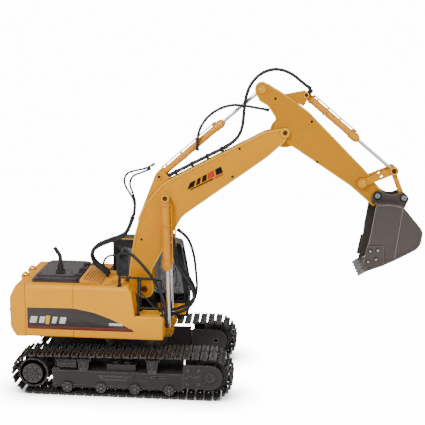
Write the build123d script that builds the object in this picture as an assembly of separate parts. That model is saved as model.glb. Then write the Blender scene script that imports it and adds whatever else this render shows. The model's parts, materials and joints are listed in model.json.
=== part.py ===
from build123d import *
import math
import os

# Tracked remote control excavator, about 1:14 of a real machine.
# Millimetres. X forward, Y to the machine's left, Z up.
# Origin: the slew axis where it meets the ground.

os.makedirs("parts", exist_ok=True)

# ------------------------------------------------------------ driving dimensions
RUN_GAP = 0.05            # radial clearance of every running fit
WALL = 2.0                # moulded shell wall

# tracks
TRACK_PITCH = 11.15
TRACK_LINKS = 55
SPROCKET_TEETH = 13
IDLER_PITCH_R = 25.0
TRACK_MID_Y = 66.75
TRACK_HALF_WIDTH = 21.75
PAD_OUT = 2.9             # outer face of the pad, measured out from the pin line
GROUSER_OUT = 4.9
LUG_IN = 2.2              # chain lug, measured in from the pin line
PIN_R = 1.1
ROLLER_Z = 10.8
ROLLER_X = (-70.4, -26.2, 18.2, 62.7)

# upper structure
FLOOR_Z = 68.6
FLOOR_T = 4.4
HOUSE_TOP_Z = 139.5
HOUSE_HALF_Y = 60.0
HOUSE_REAR_X = -130.4
DECK_FRONT_X = -5.0
RIGHT_FRONT_X = 14.0
STEP_FRONT_X = 51.5
STEP_TOP_Z = 100.8
BAY_RIGHT_Y = -31.0
CAB_REAR_X = -30.0
CAB_RIGHT_Y = 28.0
HOOD_TOP_Z = 148.0

# digging arm pivots, in the side view (x, z)
BOOM_FOOT = (20.5, 124.5)
BOOM_CYL_TOP = (49.5, 252.3)
BOOM_CYL_BASE = (54.5, 69.8)
STICK_CYL_BASE = (39.7, 278.4)
STICK_PIVOT = (203.7, 340.2)
STICK_CYL_TIP = (172.3, 395.4)
BUCKET_CYL_BASE = (229.2, 388.6)
ROCKER_PIVOT = (305.6, 276.8)
ROCKER_TIP = (345.2, 293.8)
BUCKET_PIVOT = (325.7, 261.2)
LINK_TIP = (359.8, 259.4)
BOOM_HALF_Y = 12.5
STICK_HALF_Y = 10.0
BUCKET_HALF_Y = 33.0
ARM_PIN_R = 3.0
SMALL_PIN_R = 2.4


# ------------------------------------------------------------ helpers
def outline(*corners):
    """Side-view face from corners (x, z) or (x, z, radius)."""
    points = [(corner[0], corner[1]) for corner in corners]
    radii = [corner[2] if len(corner) > 2 else 0 for corner in corners]
    return make_face(FilletPolyline(*points, radius=radii, close=True))


def disc(centre, radius):
    return Pos(centre[0], centre[1]) * Circle(radius)


def plate(face, y_low, y_high):
    """Extrude a side-view face from y_low to y_high."""
    return extrude(Plane.XZ.offset(-y_high) * face, amount=y_high - y_low)


def slab(face, z_low, z_high):
    """Extrude a plan-view face from z_low to z_high."""
    return extrude(Plane.XY.offset(z_low) * face, amount=z_high - z_low)


def block(x_low, x_high, y_low, y_high, z_low, z_high):
    size = (x_high - x_low, y_high - y_low, z_high - z_low)
    middle = ((x_low + x_high) / 2, (y_low + y_high) / 2, (z_low + z_high) / 2)
    return Pos(*middle) * Box(*size)


def cross_pin(centre, radius, y_low, y_high):
    """Cylinder along Y through a side-view point."""
    return plate(disc(centre, radius), y_low, y_high)


def both_sides(solid):
    return [solid, mirror(solid, about=Plane.XZ)]


def fuse(*solids):
    result = solids[0]
    for solid in solids[1:]:
        result = result + solid
    return result


def save(name, *solids):
    pieces = []
    for solid in solids:
        pieces.extend(solid.solids())
    export_step(Compound(children=pieces), "parts/" + name + ".step")


def between(first, second, share):
    """Point on the line from first to second at a share of its length."""
    return tuple(a + (b - a) * share for a, b in zip(first, second))


def distance(first, second):
    return math.dist(first, second)


def axis_location(start, end, y=0.0):
    """Location at start with its Z axis towards end, both side-view points."""
    direction = (end[0] - start[0], 0, end[1] - start[1])
    return Plane(origin=(start[0], y, start[1]), x_dir=(0, 1, 0), z_dir=direction).location


# ------------------------------------------------------------ track path
SPROCKET_PITCH_R = SPROCKET_TEETH * TRACK_PITCH / (2 * math.pi)
GROUND_PIN_Z = GROUSER_OUT
SPROCKET_Z = GROUND_PIN_Z + SPROCKET_PITCH_R
IDLER_Z = GROUND_PIN_Z + IDLER_PITCH_R


def wheel_distance():
    """Distance between sprocket and idler that the closed chain fits exactly."""
    span = 200.0
    for _ in range(12):
        tilt = math.atan((IDLER_PITCH_R - SPROCKET_PITCH_R) / span)
        wraps = IDLER_PITCH_R * (math.pi + 2 * tilt) + SPROCKET_PITCH_R * (math.pi - 2 * tilt)
        span = (TRACK_PITCH * TRACK_LINKS - wraps) / 2
    return span, tilt


TRACK_SPAN, TRACK_TILT = wheel_distance()
IDLER_X = TRACK_SPAN / 2
SPROCKET_X = -TRACK_SPAN / 2


def chain_pose(travel):
    """Pin position and direction of travel, in degrees, after a length of chain."""
    idler_wrap = IDLER_PITCH_R * (math.pi + 2 * TRACK_TILT)
    if travel < TRACK_SPAN:
        return SPROCKET_X + travel, GROUND_PIN_Z, 0.0
    travel -= TRACK_SPAN
    if travel < idler_wrap:
        angle = travel / IDLER_PITCH_R
        x = IDLER_X + IDLER_PITCH_R * math.sin(angle)
        return x, IDLER_Z - IDLER_PITCH_R * math.cos(angle), math.degrees(angle)
    travel -= idler_wrap
    top_angle = math.pi + 2 * TRACK_TILT
    if travel < TRACK_SPAN:
        x = IDLER_X + IDLER_PITCH_R * math.sin(top_angle) + travel * math.cos(top_angle)
        z = IDLER_Z - IDLER_PITCH_R * math.cos(top_angle) + travel * math.sin(top_angle)
        return x, z, math.degrees(top_angle)
    travel -= TRACK_SPAN
    angle = top_angle + travel / SPROCKET_PITCH_R
    x = SPROCKET_X + SPROCKET_PITCH_R * math.sin(angle)
    return x, SPROCKET_Z - SPROCKET_PITCH_R * math.cos(angle), math.degrees(angle)


def track_link():
    """One chain link at the origin: pad, two grousers, two lugs and its pin.

    Travel along X, out of the loop along -Z, width along Y.
    """
    half = TRACK_HALF_WIDTH
    pad = block(-4.4, 4.4, -half, half, -PAD_OUT, -1.3)
    notch = block(2.6, 5, -3.2, 3.2, -4, 0)
    pad = pad - notch - mirror(notch, about=Plane.YZ)
    front_bar = block(2.4, 3.8, 3.6, half - 0.8, -GROUSER_OUT, -PAD_OUT + 0.1)
    bars = [front_bar, mirror(front_bar, about=Plane.XZ)]
    rear_bar = block(-3.9, -2.5, 3.6, half - 0.8, -GROUSER_OUT, -PAD_OUT + 0.1)
    bars += [rear_bar, mirror(rear_bar, about=Plane.XZ)]
    lug_face = outline((-4.7, -1.4), (4.7, -1.4), (4.7, 1.0, 1.4), (2.6, LUG_IN, 0.8),
                       (-2.6, LUG_IN, 0.8), (-4.7, 1.0, 1.4))
    lugs = [plate(lug_face, 3.3, 5.9), plate(lug_face, -5.9, -3.3)]
    pin = cross_pin((0, 0), PIN_R, -8.2, 8.2)
    return fuse(pad, *bars, *lugs, pin)


def track_chain(side):
    link = track_link()
    links = []
    for index in range(TRACK_LINKS):
        x, z, angle = chain_pose((index + 0.5) * TRACK_PITCH)
        turn = Location((x, side * TRACK_MID_Y, z), (0, -angle, 0))
        links.append(turn * link)
    return links


# ------------------------------------------------------------ wheels of one track
def ring_points(centre, radius, count, start=0.0):
    step = 360 / count
    angles = [math.radians(start + step * index) for index in range(count)]
    return [(centre[0] + radius * math.cos(a), centre[1] + radius * math.sin(a)) for a in angles]


def sprocket():
    """Drive sprocket of the right track, measured from the track's middle plane."""
    centre = (SPROCKET_X, SPROCKET_Z)
    tip_r = SPROCKET_PITCH_R - PIN_R - 0.4
    root_r = tip_r - 3.0
    teeth = plate(disc(centre, root_r), -2.6, 2.6)
    tooth_face = outline((-1.9, root_r - 1), (1.9, root_r - 1), (0.9, tip_r), (-0.9, tip_r))
    tooth = extrude(Plane.XZ.offset(-2.0) * tooth_face, amount=4.0)
    for index in range(SPROCKET_TEETH):
        turn = Location((centre[0], 0, centre[1]), (0, (index + 0.5) * 360 / SPROCKET_TEETH, 0))
        teeth = teeth + turn * tooth
    drum = cross_pin(centre, 16.8, -11.5, 7.0)
    rim = plate(disc(centre, 19.4), -16.0, -2.6) - plate(disc(centre, 17.4), -17.0, -10.0)
    hub = cross_pin(centre, 13.0, -19.5, -10.0)
    hub = hub + cross_pin(centre, 6.2, -20.3, -19.4)
    bolts = [cross_pin(spot, 1.0, -20.1, -19.4) for spot in ring_points(centre, 9.6, 8, 22.5)]
    bore = cross_pin(centre, 2.0, -21, -14)
    shaft_hole = cross_pin(centre, 4.0 + RUN_GAP, -4, 8)
    return fuse(teeth, drum, rim, hub, *bolts) - bore - shaft_hole


def idler():
    """Front idler, measured from the track's middle plane."""
    centre = (IDLER_X, IDLER_Z)
    rim = plate(disc(centre, IDLER_PITCH_R - LUG_IN - 0.4), -8.5, 8.5)
    guide = plate(disc(centre, IDLER_PITCH_R - PIN_R - 0.5), -2.4, 2.4)
    recess = plate(disc(centre, 18.0) - disc(centre, 9.0), 5.0, 9.0)
    hub = cross_pin(centre, 8.5, -13.4, 13.4)
    axle = cross_pin(centre, 4.0, -17.2, 17.2)
    bore = cross_pin(centre, 2.6, -20, 20)
    spokes = [cross_pin(spot, 2.6, -10, 10) for spot in ring_points(centre, 13.4, 6)]
    wheel = fuse(rim, guide, hub, axle) - recess - mirror(recess, about=Plane.XZ) - bore
    for hole in spokes:
        wheel = wheel - hole
    return wheel


def roller(x):
    """Bottom roller, measured from the track's middle plane."""
    centre = (x, ROLLER_Z)
    barrel = cross_pin(centre, 3.3, -9.0, 9.0)
    axle = cross_pin(centre, 1.5, -18.6, 14.6)
    cap = cross_pin(centre, 6.7, -19.2, -16.9) - cross_pin(centre, 1.2, -20, -18)
    bolts = [cross_pin(spot, 0.7, -19.6, -19.1) for spot in ring_points(centre, 4.4, 6, 30)]
    return fuse(barrel, axle, cap, *bolts)


# ------------------------------------------------------------ track frame
def track_frame():
    """Side beam of the right track, measured from the track's middle plane."""
    beam = outline((-90, 10.4), (80.4, 10.4), (80.4, 33.0, 1), (-80.0, 33.0), (-82, 35.4, 1),
                   (-90, 35.4, 1))
    for x in ROLLER_X:
        beam = beam + disc((x, ROLLER_Z), 4.4)
    holes = [disc((x, ROLLER_Z), 1.5 + 2 * RUN_GAP) for x in ROLLER_X]
    outer = plate(beam, -16.6, -14.0)
    inner = plate(beam, 11.4, 14.0)
    rib = plate(outline((-31, 27.5), (-24, 21), (6, 21), (13, 27.5)), -17.2, -16.5)
    rib_inner = plate(outline((-27, 26.3), (-22, 22.2), (4, 22.2), (9, 26.3)), -17.4, -16.9)
    web = block(-86, 78, -14.2, 11.6, 30.8, 33.0)
    end_rear = block(-90, -87.6, -14.2, 11.6, 12, 35.4)
    end_front = block(78.0, 80.4, -14.2, 11.6, 12, 33)
    final_drive = outline((-90, 12), (-90, 44), (SPROCKET_X, SPROCKET_Z + 14, 13),
                          (SPROCKET_X - 13, SPROCKET_Z, 12), (SPROCKET_X, SPROCKET_Z - 14, 13))
    carrier = plate(final_drive, 11.4, 14.0)
    stub = cross_pin((SPROCKET_X, SPROCKET_Z), 4.0, -3.6, 11.6)
    wall = plate(outline((-84, 32), (79, 32), (79, 48.5), (-84, 48.5)), 11.4, 14.0)
    frame = fuse(outer, inner, rib, web, wall, end_rear, end_front, carrier, stub) - rib_inner
    for hole in holes:
        frame = frame - plate(hole, -18, 16)
    slot_long = plate(outline((40, 26.6), (60, 26.6), (60, 28.4), (40, 28.4)), -18, -15.6)
    slot_short = plate(outline((24, 21.4), (34, 21.4), (34, 22.8), (24, 22.8)), -18, -15.6)
    return frame - slot_long - slot_short


def idler_yoke(y_low, y_high):
    """D-shaped plate that carries the idler axle."""
    centre = (IDLER_X, IDLER_Z)
    face = outline((80.8, 14.0, 1), (IDLER_X, 14.0), (IDLER_X, 45.8), (80.8, 45.8, 1))
    face = face + disc(centre, 15.9)
    face = face - disc(centre, 4.0 + RUN_GAP)
    yoke = plate(face, y_low, y_high)
    return yoke


def idler_yokes():
    """Outer and inner yoke of the right track, from the track's middle plane."""
    outer = idler_yoke(-17.0, -14.2)
    ring = disc((IDLER_X, IDLER_Z), 7.2) - disc((IDLER_X, IDLER_Z), 4.4)
    outer = outer + plate(ring, -18.2, -16.9)
    for x in (86.5, 101.0):
        for z in (IDLER_Z - 9.5, IDLER_Z + 9.5):
            outer = outer + cross_pin((x, z), 1.5, -18.0, -16.9)
    rack = [(84.5 + 2.2 * i, IDLER_Z + (0.9 if i % 2 else -0.9)) for i in range(9)]
    for spot in rack:
        outer = outer - plate(Pos(spot[0], spot[1]) * Rectangle(1.6, 1.6), -18, -16.2)
    return [outer, idler_yoke(14.2, 17.0)]


def track_supports():
    """Posts, skids and the tension box above the right track's beam."""
    posts = []
    for x, top in ((-49.3, 48.6), (40.6, 50.4)):
        face = outline((x - 5.6, 33.2), (x + 5.6, 33.2), (x + 7.2, top - 4, 1), (x + 7.2, top),
                       (x - 7.2, top), (x - 7.2, top - 4, 1))
        post = plate(face, -16.9, -13.6)
        skid = block(x - 9, x + 9, -13.8, 9.0, top - 3.4, top)
        bolt = cross_pin((x, top - 4.6), 2.1, -18.0, -16.8)
        feet = [cross_pin((x + dx, 35.4), 0.9, -17.6, -16.8) for dx in (-3, 3)]
        groove = block(x - 0.5, x + 0.5, -17.2, -16.4, 36, top - 8)
        posts.append(fuse(post, skid, bolt, *feet) - groove)
    box = block(-19, 18, -13.0, 8.0, 33.2, 41.5)
    caps = [Pos(x, -6.0, 42.8) * Cylinder(4.6, 3.0) for x in (-9, 7)]
    posts.append(fuse(box, *caps))
    return posts


def drive_motor():
    """Gear motor that sits on the right track's beam behind the rear post."""
    body = block(-84, -59.5, -13.2, 9.0, 35.6, 46.4)
    ribs = [block(-83, -60.5, -13.8, -13.0, z, z + 4.0) for z in (36.6, 41.6)]
    end = block(-87.4, -83.9, -10.0, 6.0, 35.6, 44.0)
    return fuse(body, *ribs, end)


def to_side(solid, side):
    """Place a right-hand piece, measured from its track's middle plane."""
    if side > 0:
        solid = mirror(solid, about=Plane.XZ)
    return Pos(0, side * TRACK_MID_Y, 0) * solid


def build_undercarriage():
    supports = []
    yokes = []
    motors = []
    for side, name in ((-1, "right"), (1, "left")):
        save(name + "_track_chain", *track_chain(side))
        save(name + "_track_frame", to_side(track_frame(), side))
        save(name + "_sprocket", to_side(sprocket(), side))
        save(name + "_idler", to_side(idler(), side))
        for index, x in enumerate(ROLLER_X):
            save(name + "_roller_" + str(index + 1), to_side(roller(x), side))
        supports += [to_side(piece, side) for piece in track_supports()]
        yokes += [to_side(piece, side) for piece in idler_yokes()]
        motors.append(to_side(drive_motor(), side))
    save("track_supports", *supports)
    save("idler_yokes", *yokes)
    save("drive_motors", *motors)


SLEW_SPINDLE_R = 12.0
SLEW_RING_R = 38.0


def lower_frame():
    """Centre frame between the tracks, with the slew pedestal and spindle."""
    inner_y = TRACK_MID_Y - 14.0
    plan = outline((-44, -inner_y), (-24, -30, 6), (-30, 0, 10), (-24, 30, 6), (-44, inner_y),
                   (44, inner_y), (24, 30, 6), (30, 0, 10), (24, -30, 6), (44, -inner_y))
    arms = slab(plan, 23, 33)
    belly = slab(Circle(34), 21, 52)
    pedestal = slab(Circle(SLEW_RING_R), 50, 61.8)
    spindle = slab(Circle(SLEW_SPINDLE_R), 60, 71.5)
    cap = slab(Circle(4), 71.4, 72.4)
    wiring = slab(Circle(3), 15, 80)
    return fuse(arms, belly, pedestal, spindle, cap) - wiring


# ------------------------------------------------------------ upper structure
def slew_ring():
    """Toothed ring screwed under the floor."""
    ring = slab(Circle(SLEW_RING_R) - Circle(SLEW_SPINDLE_R + 4), 62.2, FLOOR_Z)
    grooves = [Pos(x, y, 64.6) * Cylinder(1.0, 2.6) for x, y in ring_points((0, 0), 38.4, 48)]
    for groove in grooves:
        ring = ring - groove
    return ring


def floor_plan():
    return outline((-129.5, -57.4), (49.0, -57.4), (49.0, -33), (43, -33), (43, CAB_RIGHT_Y),
                   (68, CAB_RIGHT_Y), (68, 59), (-24, 59), (-34, 57.4), (-129.5, 57.4))


def house_floor():
    floor = slab(floor_plan(), FLOOR_Z, FLOOR_Z + FLOOR_T)
    spindle_hole = slab(Circle(SLEW_SPINDLE_R + RUN_GAP), 60, 80)
    switch_slot = block(-96, -82, -34, -30, 60, 80)
    vents = [block(-60 + 6 * i, -57 + 6 * i, 26, 46, 60, 80) for i in range(5)]
    floor = floor - spindle_hole - switch_slot
    for vent in vents:
        floor = floor - vent
    ribs = [block(-120, -20, y - 1, y + 1, FLOOR_Z + FLOOR_T - 0.2, 78) for y in (-20, 3)]
    return fuse(floor, *ribs)


def house_shell():
    """Engine compartment shell: right side, left side, deck and bay wall."""
    def plan(inset):
        return outline((HOUSE_REAR_X + inset, -HOUSE_HALF_Y + inset),
                       (RIGHT_FRONT_X - inset, -HOUSE_HALF_Y + inset),
                       (RIGHT_FRONT_X - inset, BAY_RIGHT_Y - inset),
                       (DECK_FRONT_X - inset, BAY_RIGHT_Y - inset),
                       (DECK_FRONT_X - inset, 20 - inset),
                       (-34 - inset, 20 - inset),
                       (-34 - inset, HOUSE_HALF_Y - inset),
                       (HOUSE_REAR_X + inset, HOUSE_HALF_Y - inset))
    outer = slab(plan(0), FLOOR_Z, HOUSE_TOP_Z)
    outer = fillet(side_edges(outer, HOUSE_TOP_Z), 5.5)
    outer = fillet(side_edges(outer, FLOOR_Z), 2.5)
    cavity = slab(plan(WALL), FLOOR_Z - 1, HOUSE_TOP_Z - WALL)
    shell = outer - cavity
    for low, high, front in ((-57.6, -53, -3), (53, 57.6, -36)):
        shell = shell + block(HOUSE_REAR_X + 1, front, low, high, HOUSE_TOP_Z - 4.2,
                              HOUSE_TOP_Z - 1.8)
    slant = outline((3.6, 141), (9.4, 133.4, 2), (14.0, 101.5), (14.0, 60), (30, 60), (30, 141))
    shell = shell - plate(slant, -70, -20)
    front_wall = outline((1.6, 138.4), (7.4, 132.8, 2), (12.0, 101.5), (12.0, FLOOR_Z),
                         (14.0, FLOOR_Z), (14.0, 101.5), (9.4, 133.4, 2), (3.6, 138.4))
    shell = shell + plate(front_wall, -HOUSE_HALF_Y + 3, BAY_RIGHT_Y)
    manifold = block(-31.9, -24.5, -23, 6, HOUSE_TOP_Z - 0.2, HOUSE_TOP_Z + 1.0)
    sockets = [Pos(x, y, HOUSE_TOP_Z + 0.9) * Cylinder(2.3, 1.8) for x, y in deck_sockets()]
    shell = fuse(shell, manifold, *sockets)
    return shell - slab(floor_plan(), FLOOR_Z - 1, FLOOR_Z + FLOOR_T)


def side_edges(solid, level):
    """Long edges of the house block at its two sides, at one height."""
    return solid.edges().filter_by(Axis.X).filter_by(
        lambda edge: abs(edge.center().Z - level) < 0.1
        and abs(abs(edge.center().Y) - HOUSE_HALF_Y) < 0.1)


def deck_sockets():
    """Deck positions of the hose sockets: the lifted bundle, then the small loop."""
    return [(LIFT_ROUTE[0][0], y) for y in LIFT_Y] + [(LOOP_ROUTE[-1][0], LOOP_Y)]


def counterweight():
    plan = outline((HOUSE_REAR_X - 0.1, -HOUSE_HALF_Y), (-153.5, -HOUSE_HALF_Y, 14),
                   (-160, 0, 150), (-153.5, HOUSE_HALF_Y, 14), (HOUSE_REAR_X - 0.1, HOUSE_HALF_Y))
    weight = slab(plan, FLOOR_Z, HOUSE_TOP_Z - 1)
    upper = outline((-170, 117), (-155, 117), (-142, 140), (-170, 140))
    lower = outline((-170, 60), (-142, 60), (-143, FLOOR_Z), (-154.5, 81), (-170, 81))
    weight = weight - plate(upper, -80, 80) - plate(lower, -80, 80)
    pocket = block(-147, HOUSE_REAR_X + 1, -46, 46, 74, 128)
    eye_face = disc((-142.5, 139.6), 4.6) + outline((-147, 132), (-138, 132), (-138, 139),
                                                    (-147, 139))
    eyes = [plate(eye_face, y - 2.6, y + 2.6) for y in (-16, 16)]
    eye_holes = [cross_pin((-142.5, 139.9), 1.8, y - 4, y + 4) for y in (-16, 16)]
    weight = fuse(weight - pocket, *eyes)
    for hole in eye_holes:
        weight = weight - hole
    return weight


def engine_hood():
    hood_plan = outline((-126, -45.4, 4), (-60, -45.4, 4), (-60, 45.4, 4), (-126, 45.4, 4))
    base = slab(hood_plan, HOUSE_TOP_Z, HOUSE_TOP_Z + 1.6)
    top_plan = outline((-124, -43.6, 4), (-64, -43.6, 4), (-64, 43.6, 4), (-124, 43.6, 4))
    top = slab(top_plan, HOUSE_TOP_Z + 1.4, HOUSE_TOP_Z + 5.4)
    crown_plan = outline((-121, -37, 4), (-68, -37, 4), (-68, 37, 4), (-121, 37, 4))
    crown = slab(crown_plan, HOUSE_TOP_Z + 5.2, HOOD_TOP_Z)
    crown = chamfer(crown.faces().sort_by(Axis.Z)[-1].edges(), 1.6)
    vents = [block(-122 + 4 * i, -119.6 + 4 * i, -44.4, -43, 142, 144) for i in range(13)]
    slots = [block(-116, -84, 24 + 3.4 * i, 25.6 + 3.4 * i, 146.6, 149) for i in range(3)]
    slots += [block(-80, -71, -26 + 3.4 * i, -24.4 + 3.4 * i, 146.6, 149) for i in range(3)]
    hood = fuse(base, top, crown)
    for cut in vents + slots:
        hood = hood - cut
    return hood


def hood_latches():
    """Oval latches on the hood's front edge."""
    latches = []
    for y in (-34, -6, 22):
        face = SlotOverall(9, 4.4)
        body = Location((-65.6, y, HOUSE_TOP_Z + 5.5), (0, 0, 0)) * extrude(face, amount=2.4)
        latches.append(body)
    return latches


def exhaust():
    """Bent stack on its foot, bored from its mouth down to the collar."""
    x, y = -90.0, -30.0
    base = block(x - 5.4, x + 5.4, y - 4.4, y + 4.4, HOOD_TOP_Z, HOOD_TOP_Z + 4.4)
    collar = Pos(x, y, HOOD_TOP_Z + 8.0) * Cylinder(3.6, 8.0)
    band = Pos(x, y, HOOD_TOP_Z + 11.6) * Cylinder(4.2, 1.6)
    path = FilletPolyline((x, y, HOOD_TOP_Z + 10), (x, y, HOOD_TOP_Z + 24),
                          (x - 7.6, y, HOOD_TOP_Z + 35.6), radius=[9])
    pipe = sweep(Plane(origin=path @ 0, z_dir=path % 0) * Circle(2.7), path=path)
    bore = sweep(Plane(origin=path @ 0, z_dir=path % 0) * Circle(1.8), path=path)
    foot_room = Pos(x, y, HOOD_TOP_Z + 12) * Cylinder(8, 8)
    return fuse(base, collar, band, pipe) - (bore - foot_room)


def louver_panel():
    """Ramp in front of the hood with ribs across it."""
    back, front, high, low = -57.0, -32.0, 146.2, 140.3
    ramp_face = outline((-59.8, HOUSE_TOP_Z), (front, HOUSE_TOP_Z), (front, low), (back, high),
                        (-59.8, high))
    ribs = []
    for index in range(8):
        x = back + 1.4 + 3.1 * index
        z = high + (x - back) * (low - high) / (front - back)
        ribs.append(block(x - 0.7, x + 0.7, -48, 16, z - 0.6, z + 0.9))
    return fuse(plate(ramp_face, -50, 18), *ribs)


def step_box():
    """Tank and step ahead of the right side cover."""
    face = outline((RIGHT_FRONT_X + 0.1, FLOOR_Z), (STEP_FRONT_X, FLOOR_Z, 2),
                   (STEP_FRONT_X, STEP_TOP_Z, 3), (RIGHT_FRONT_X + 0.1, STEP_TOP_Z))
    outer = plate(face, -HOUSE_HALF_Y, BAY_RIGHT_Y)
    side_edges = outer.edges().filter_by(Axis.X).filter_by(lambda e: e.center().Y < -50)
    outer = fillet(side_edges.sort_by(Axis.Z)[-1], 2.5)
    cavity = block(RIGHT_FRONT_X + WALL, STEP_FRONT_X - WALL, -HOUSE_HALF_Y + WALL,
                   BAY_RIGHT_Y - WALL, FLOOR_Z - 1, STEP_TOP_Z - WALL)
    box = outer - cavity - slab(floor_plan(), FLOOR_Z - 1, FLOOR_Z + FLOOR_T)
    treads = [block(21 + 3.4 * i, 22.6 + 3.4 * i, -56 + 5.5 * j, -52.6 + 5.5 * j,
                    STEP_TOP_Z - 0.2, STEP_TOP_Z + 0.7) for i in range(7) for j in range(4)]
    return fuse(box, *treads)


CAB_LOW_Z = FLOOR_Z + FLOOR_T
CAB_TOP_Z = 182.0


def cab_side_face(inset):
    """Side view of the cab, drawn in by an inset."""
    i = inset
    return outline((CAB_REAR_X + i, CAB_LOW_Z + i), (76 - i, CAB_LOW_Z + i, 2),
                   (78 - i, 112), (66 - i, CAB_TOP_Z - 4, 6), (52, CAB_TOP_Z - i, 8),
                   (CAB_REAR_X + i, CAB_TOP_Z - i, 4))


def cab_windows():
    """Window openings as side-view faces: rear quarter and door glass."""
    rear = outline((-24, 112, 2), (8, 112, 2), (8, 172, 2), (-24, 172, 2))
    front = outline((13, 96, 2), (71.5, 96, 2), (70.6, 114), (61.5, 168, 3), (54, 172, 3),
                    (13, 172, 2))
    return rear, front


def cab_shell():
    outer = plate(cab_side_face(0), CAB_RIGHT_Y, HOUSE_HALF_Y)
    inner = plate(cab_side_face(WALL), CAB_RIGHT_Y + WALL, HOUSE_HALF_Y - WALL)
    shell = outer - inner
    rear, front = cab_windows()
    shell = shell - plate(rear, 10, 70) - plate(front, 10, 70)
    screen = block(60, 90, CAB_RIGHT_Y + 4.5, HOUSE_HALF_Y - 4.5, 86, 171)
    back = block(-40, -20, CAB_RIGHT_Y + 5, HOUSE_HALF_Y - 5, 122, 171)
    roof_band = block(CAB_REAR_X + 6, 48, CAB_RIGHT_Y + 5, HOUSE_HALF_Y - 5, CAB_TOP_Z - 0.2,
                      CAB_TOP_Z + 2.2)
    return shell - screen - back + roof_band


def cab_glazing():
    """Clear panes inside the cab shell, one solid per window."""
    rear, front = cab_windows()
    panes = []
    for face in (rear, front):
        grown = offset(face, amount=1.6)
        panes.append(plate(grown, CAB_RIGHT_Y + WALL + 0.1, CAB_RIGHT_Y + WALL + 1.0))
        panes.append(plate(grown, HOUSE_HALF_Y - WALL - 1.0, HOUSE_HALF_Y - WALL - 0.1))
    screen_face = outline((73.0, 88), (74.0, 88), (75.6, 112), (64.6, 172), (63.6, 172),
                          (74.6, 112))
    panes.append(plate(screen_face, CAB_RIGHT_Y + 3.2, HOUSE_HALF_Y - 3.2))
    panes.append(block(-27.9, -26.9, CAB_RIGHT_Y + 3.5, HOUSE_HALF_Y - 3.5, 120, 173))
    return panes


def cab_interior():
    """Seat, consoles and levers."""
    middle_y = (CAB_RIGHT_Y + HOUSE_HALF_Y) / 2
    low = CAB_LOW_Z + WALL + 0.1
    plinth = block(-6, 18, middle_y - 6.5, middle_y + 6.5, low, low + 14)
    cushion = block(-8, 20, middle_y - 7.6, middle_y + 7.6, low + 13.9, low + 20)
    back = Location((-7, middle_y, low + 36), (0, -10, 0)) * Box(6, 15, 36)
    head = Location((-11, middle_y, low + 57), (0, -10, 0)) * Box(5, 11, 8)
    consoles = [block(-2, 24, middle_y + dy - 1.7, middle_y + dy + 1.7, low, low + 27)
                for dy in (-10.6, 10.6)]
    levers = []
    for dy in (-10.6, 10.6):
        stem = Pos(20, middle_y + dy, low + 32) * Cylinder(0.9, 12)
        knob = Pos(20, middle_y + dy, low + 38.5) * Sphere(2.2)
        levers.append(stem + knob)
    return [fuse(plinth, cushion, back, head), *[c + l for c, l in zip(consoles, levers)]]


def round_bar(points, bar_r, radii):
    path = FilletPolyline(*points, radius=radii) if len(points) > 2 else Line(*points)
    return sweep(Plane(origin=path @ 0, z_dir=path % 0) * Circle(bar_r), path=path)


def handrails():
    y = -53.0
    top = round_bar([(-7, y, HOUSE_TOP_Z), (-7, y, 151.4), (38.4, y, 151.4),
                     (38.4, y - 0.01, 146)], 1.3, [2.5, 2.5])
    post = round_bar([(18.2, y, STEP_TOP_Z), (18.2, y, 150.8)], 1.3, None)
    low = round_bar([(18.2, y, 111), (50, y, 111), (50, y, STEP_TOP_Z)], 1.2, [2.5])
    brace = round_bar([(18.6, y, 135), (40.5, y, 111.2)], 0.9, None)
    far_y = -34.0
    far = round_bar([(18.2, far_y, STEP_TOP_Z), (18.2, far_y, 144), (46, far_y, 144),
                     (46, far_y, STEP_TOP_Z)], 1.1, [2.5, 2.5])
    return [fuse(top, post, low, brace), far]


def side_mirror():
    """Rear-view mirror on its post above the right deck."""
    y = -49.0
    rim = outline((-10.6, 152.8, 3), (5.8, 152.8, 3), (5.8, 184.6, 5), (-10.6, 184.6, 7))
    glass = outline((-8.4, 155, 2), (3.6, 155, 2), (3.6, 182.4, 3), (-8.4, 182.4, 5))
    housing = plate(rim, y - 2.2, y + 1.4) - plate(glass, y - 3, y - 1.2)
    post = block(-8.6, -5.4, y - 1.4, y + 1.4, HOUSE_TOP_Z, 153.2)
    return housing + post


def boom_bracket():
    """Tower that the boom foot straddles."""
    face = outline((-2, FLOOR_Z + FLOOR_T), (41, FLOOR_Z + FLOOR_T), (36, 96, 8),
                   (29.4, 122), (11.6, 122), (4, 96, 8)) + disc(BOOM_FOOT, 8.9)
    tower = plate(face, -8.0, 8.0)
    tower = tower - cross_pin(BOOM_FOOT, ARM_PIN_R + RUN_GAP, -20, 20)
    flange = slab(outline((-3.5, -17, 2), (42, -17, 2), (42, 17, 2), (-3.5, 17, 2)),
                  FLOOR_Z + FLOOR_T, FLOOR_Z + FLOOR_T + 2.4)
    pocket = plate(outline((8, 82, 2), (32, 82, 2), (26, 106, 3), (14, 106, 3)), -9, -5)
    manifold = block(36, FRONT_ROUTE[-1][0] - 0.4, -12.5, 12.5, 80, 90)
    return fuse(tower, flange, manifold) - pocket - mirror(pocket, about=Plane.XZ)


BOOM_CYL_Y = 20.2


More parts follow.
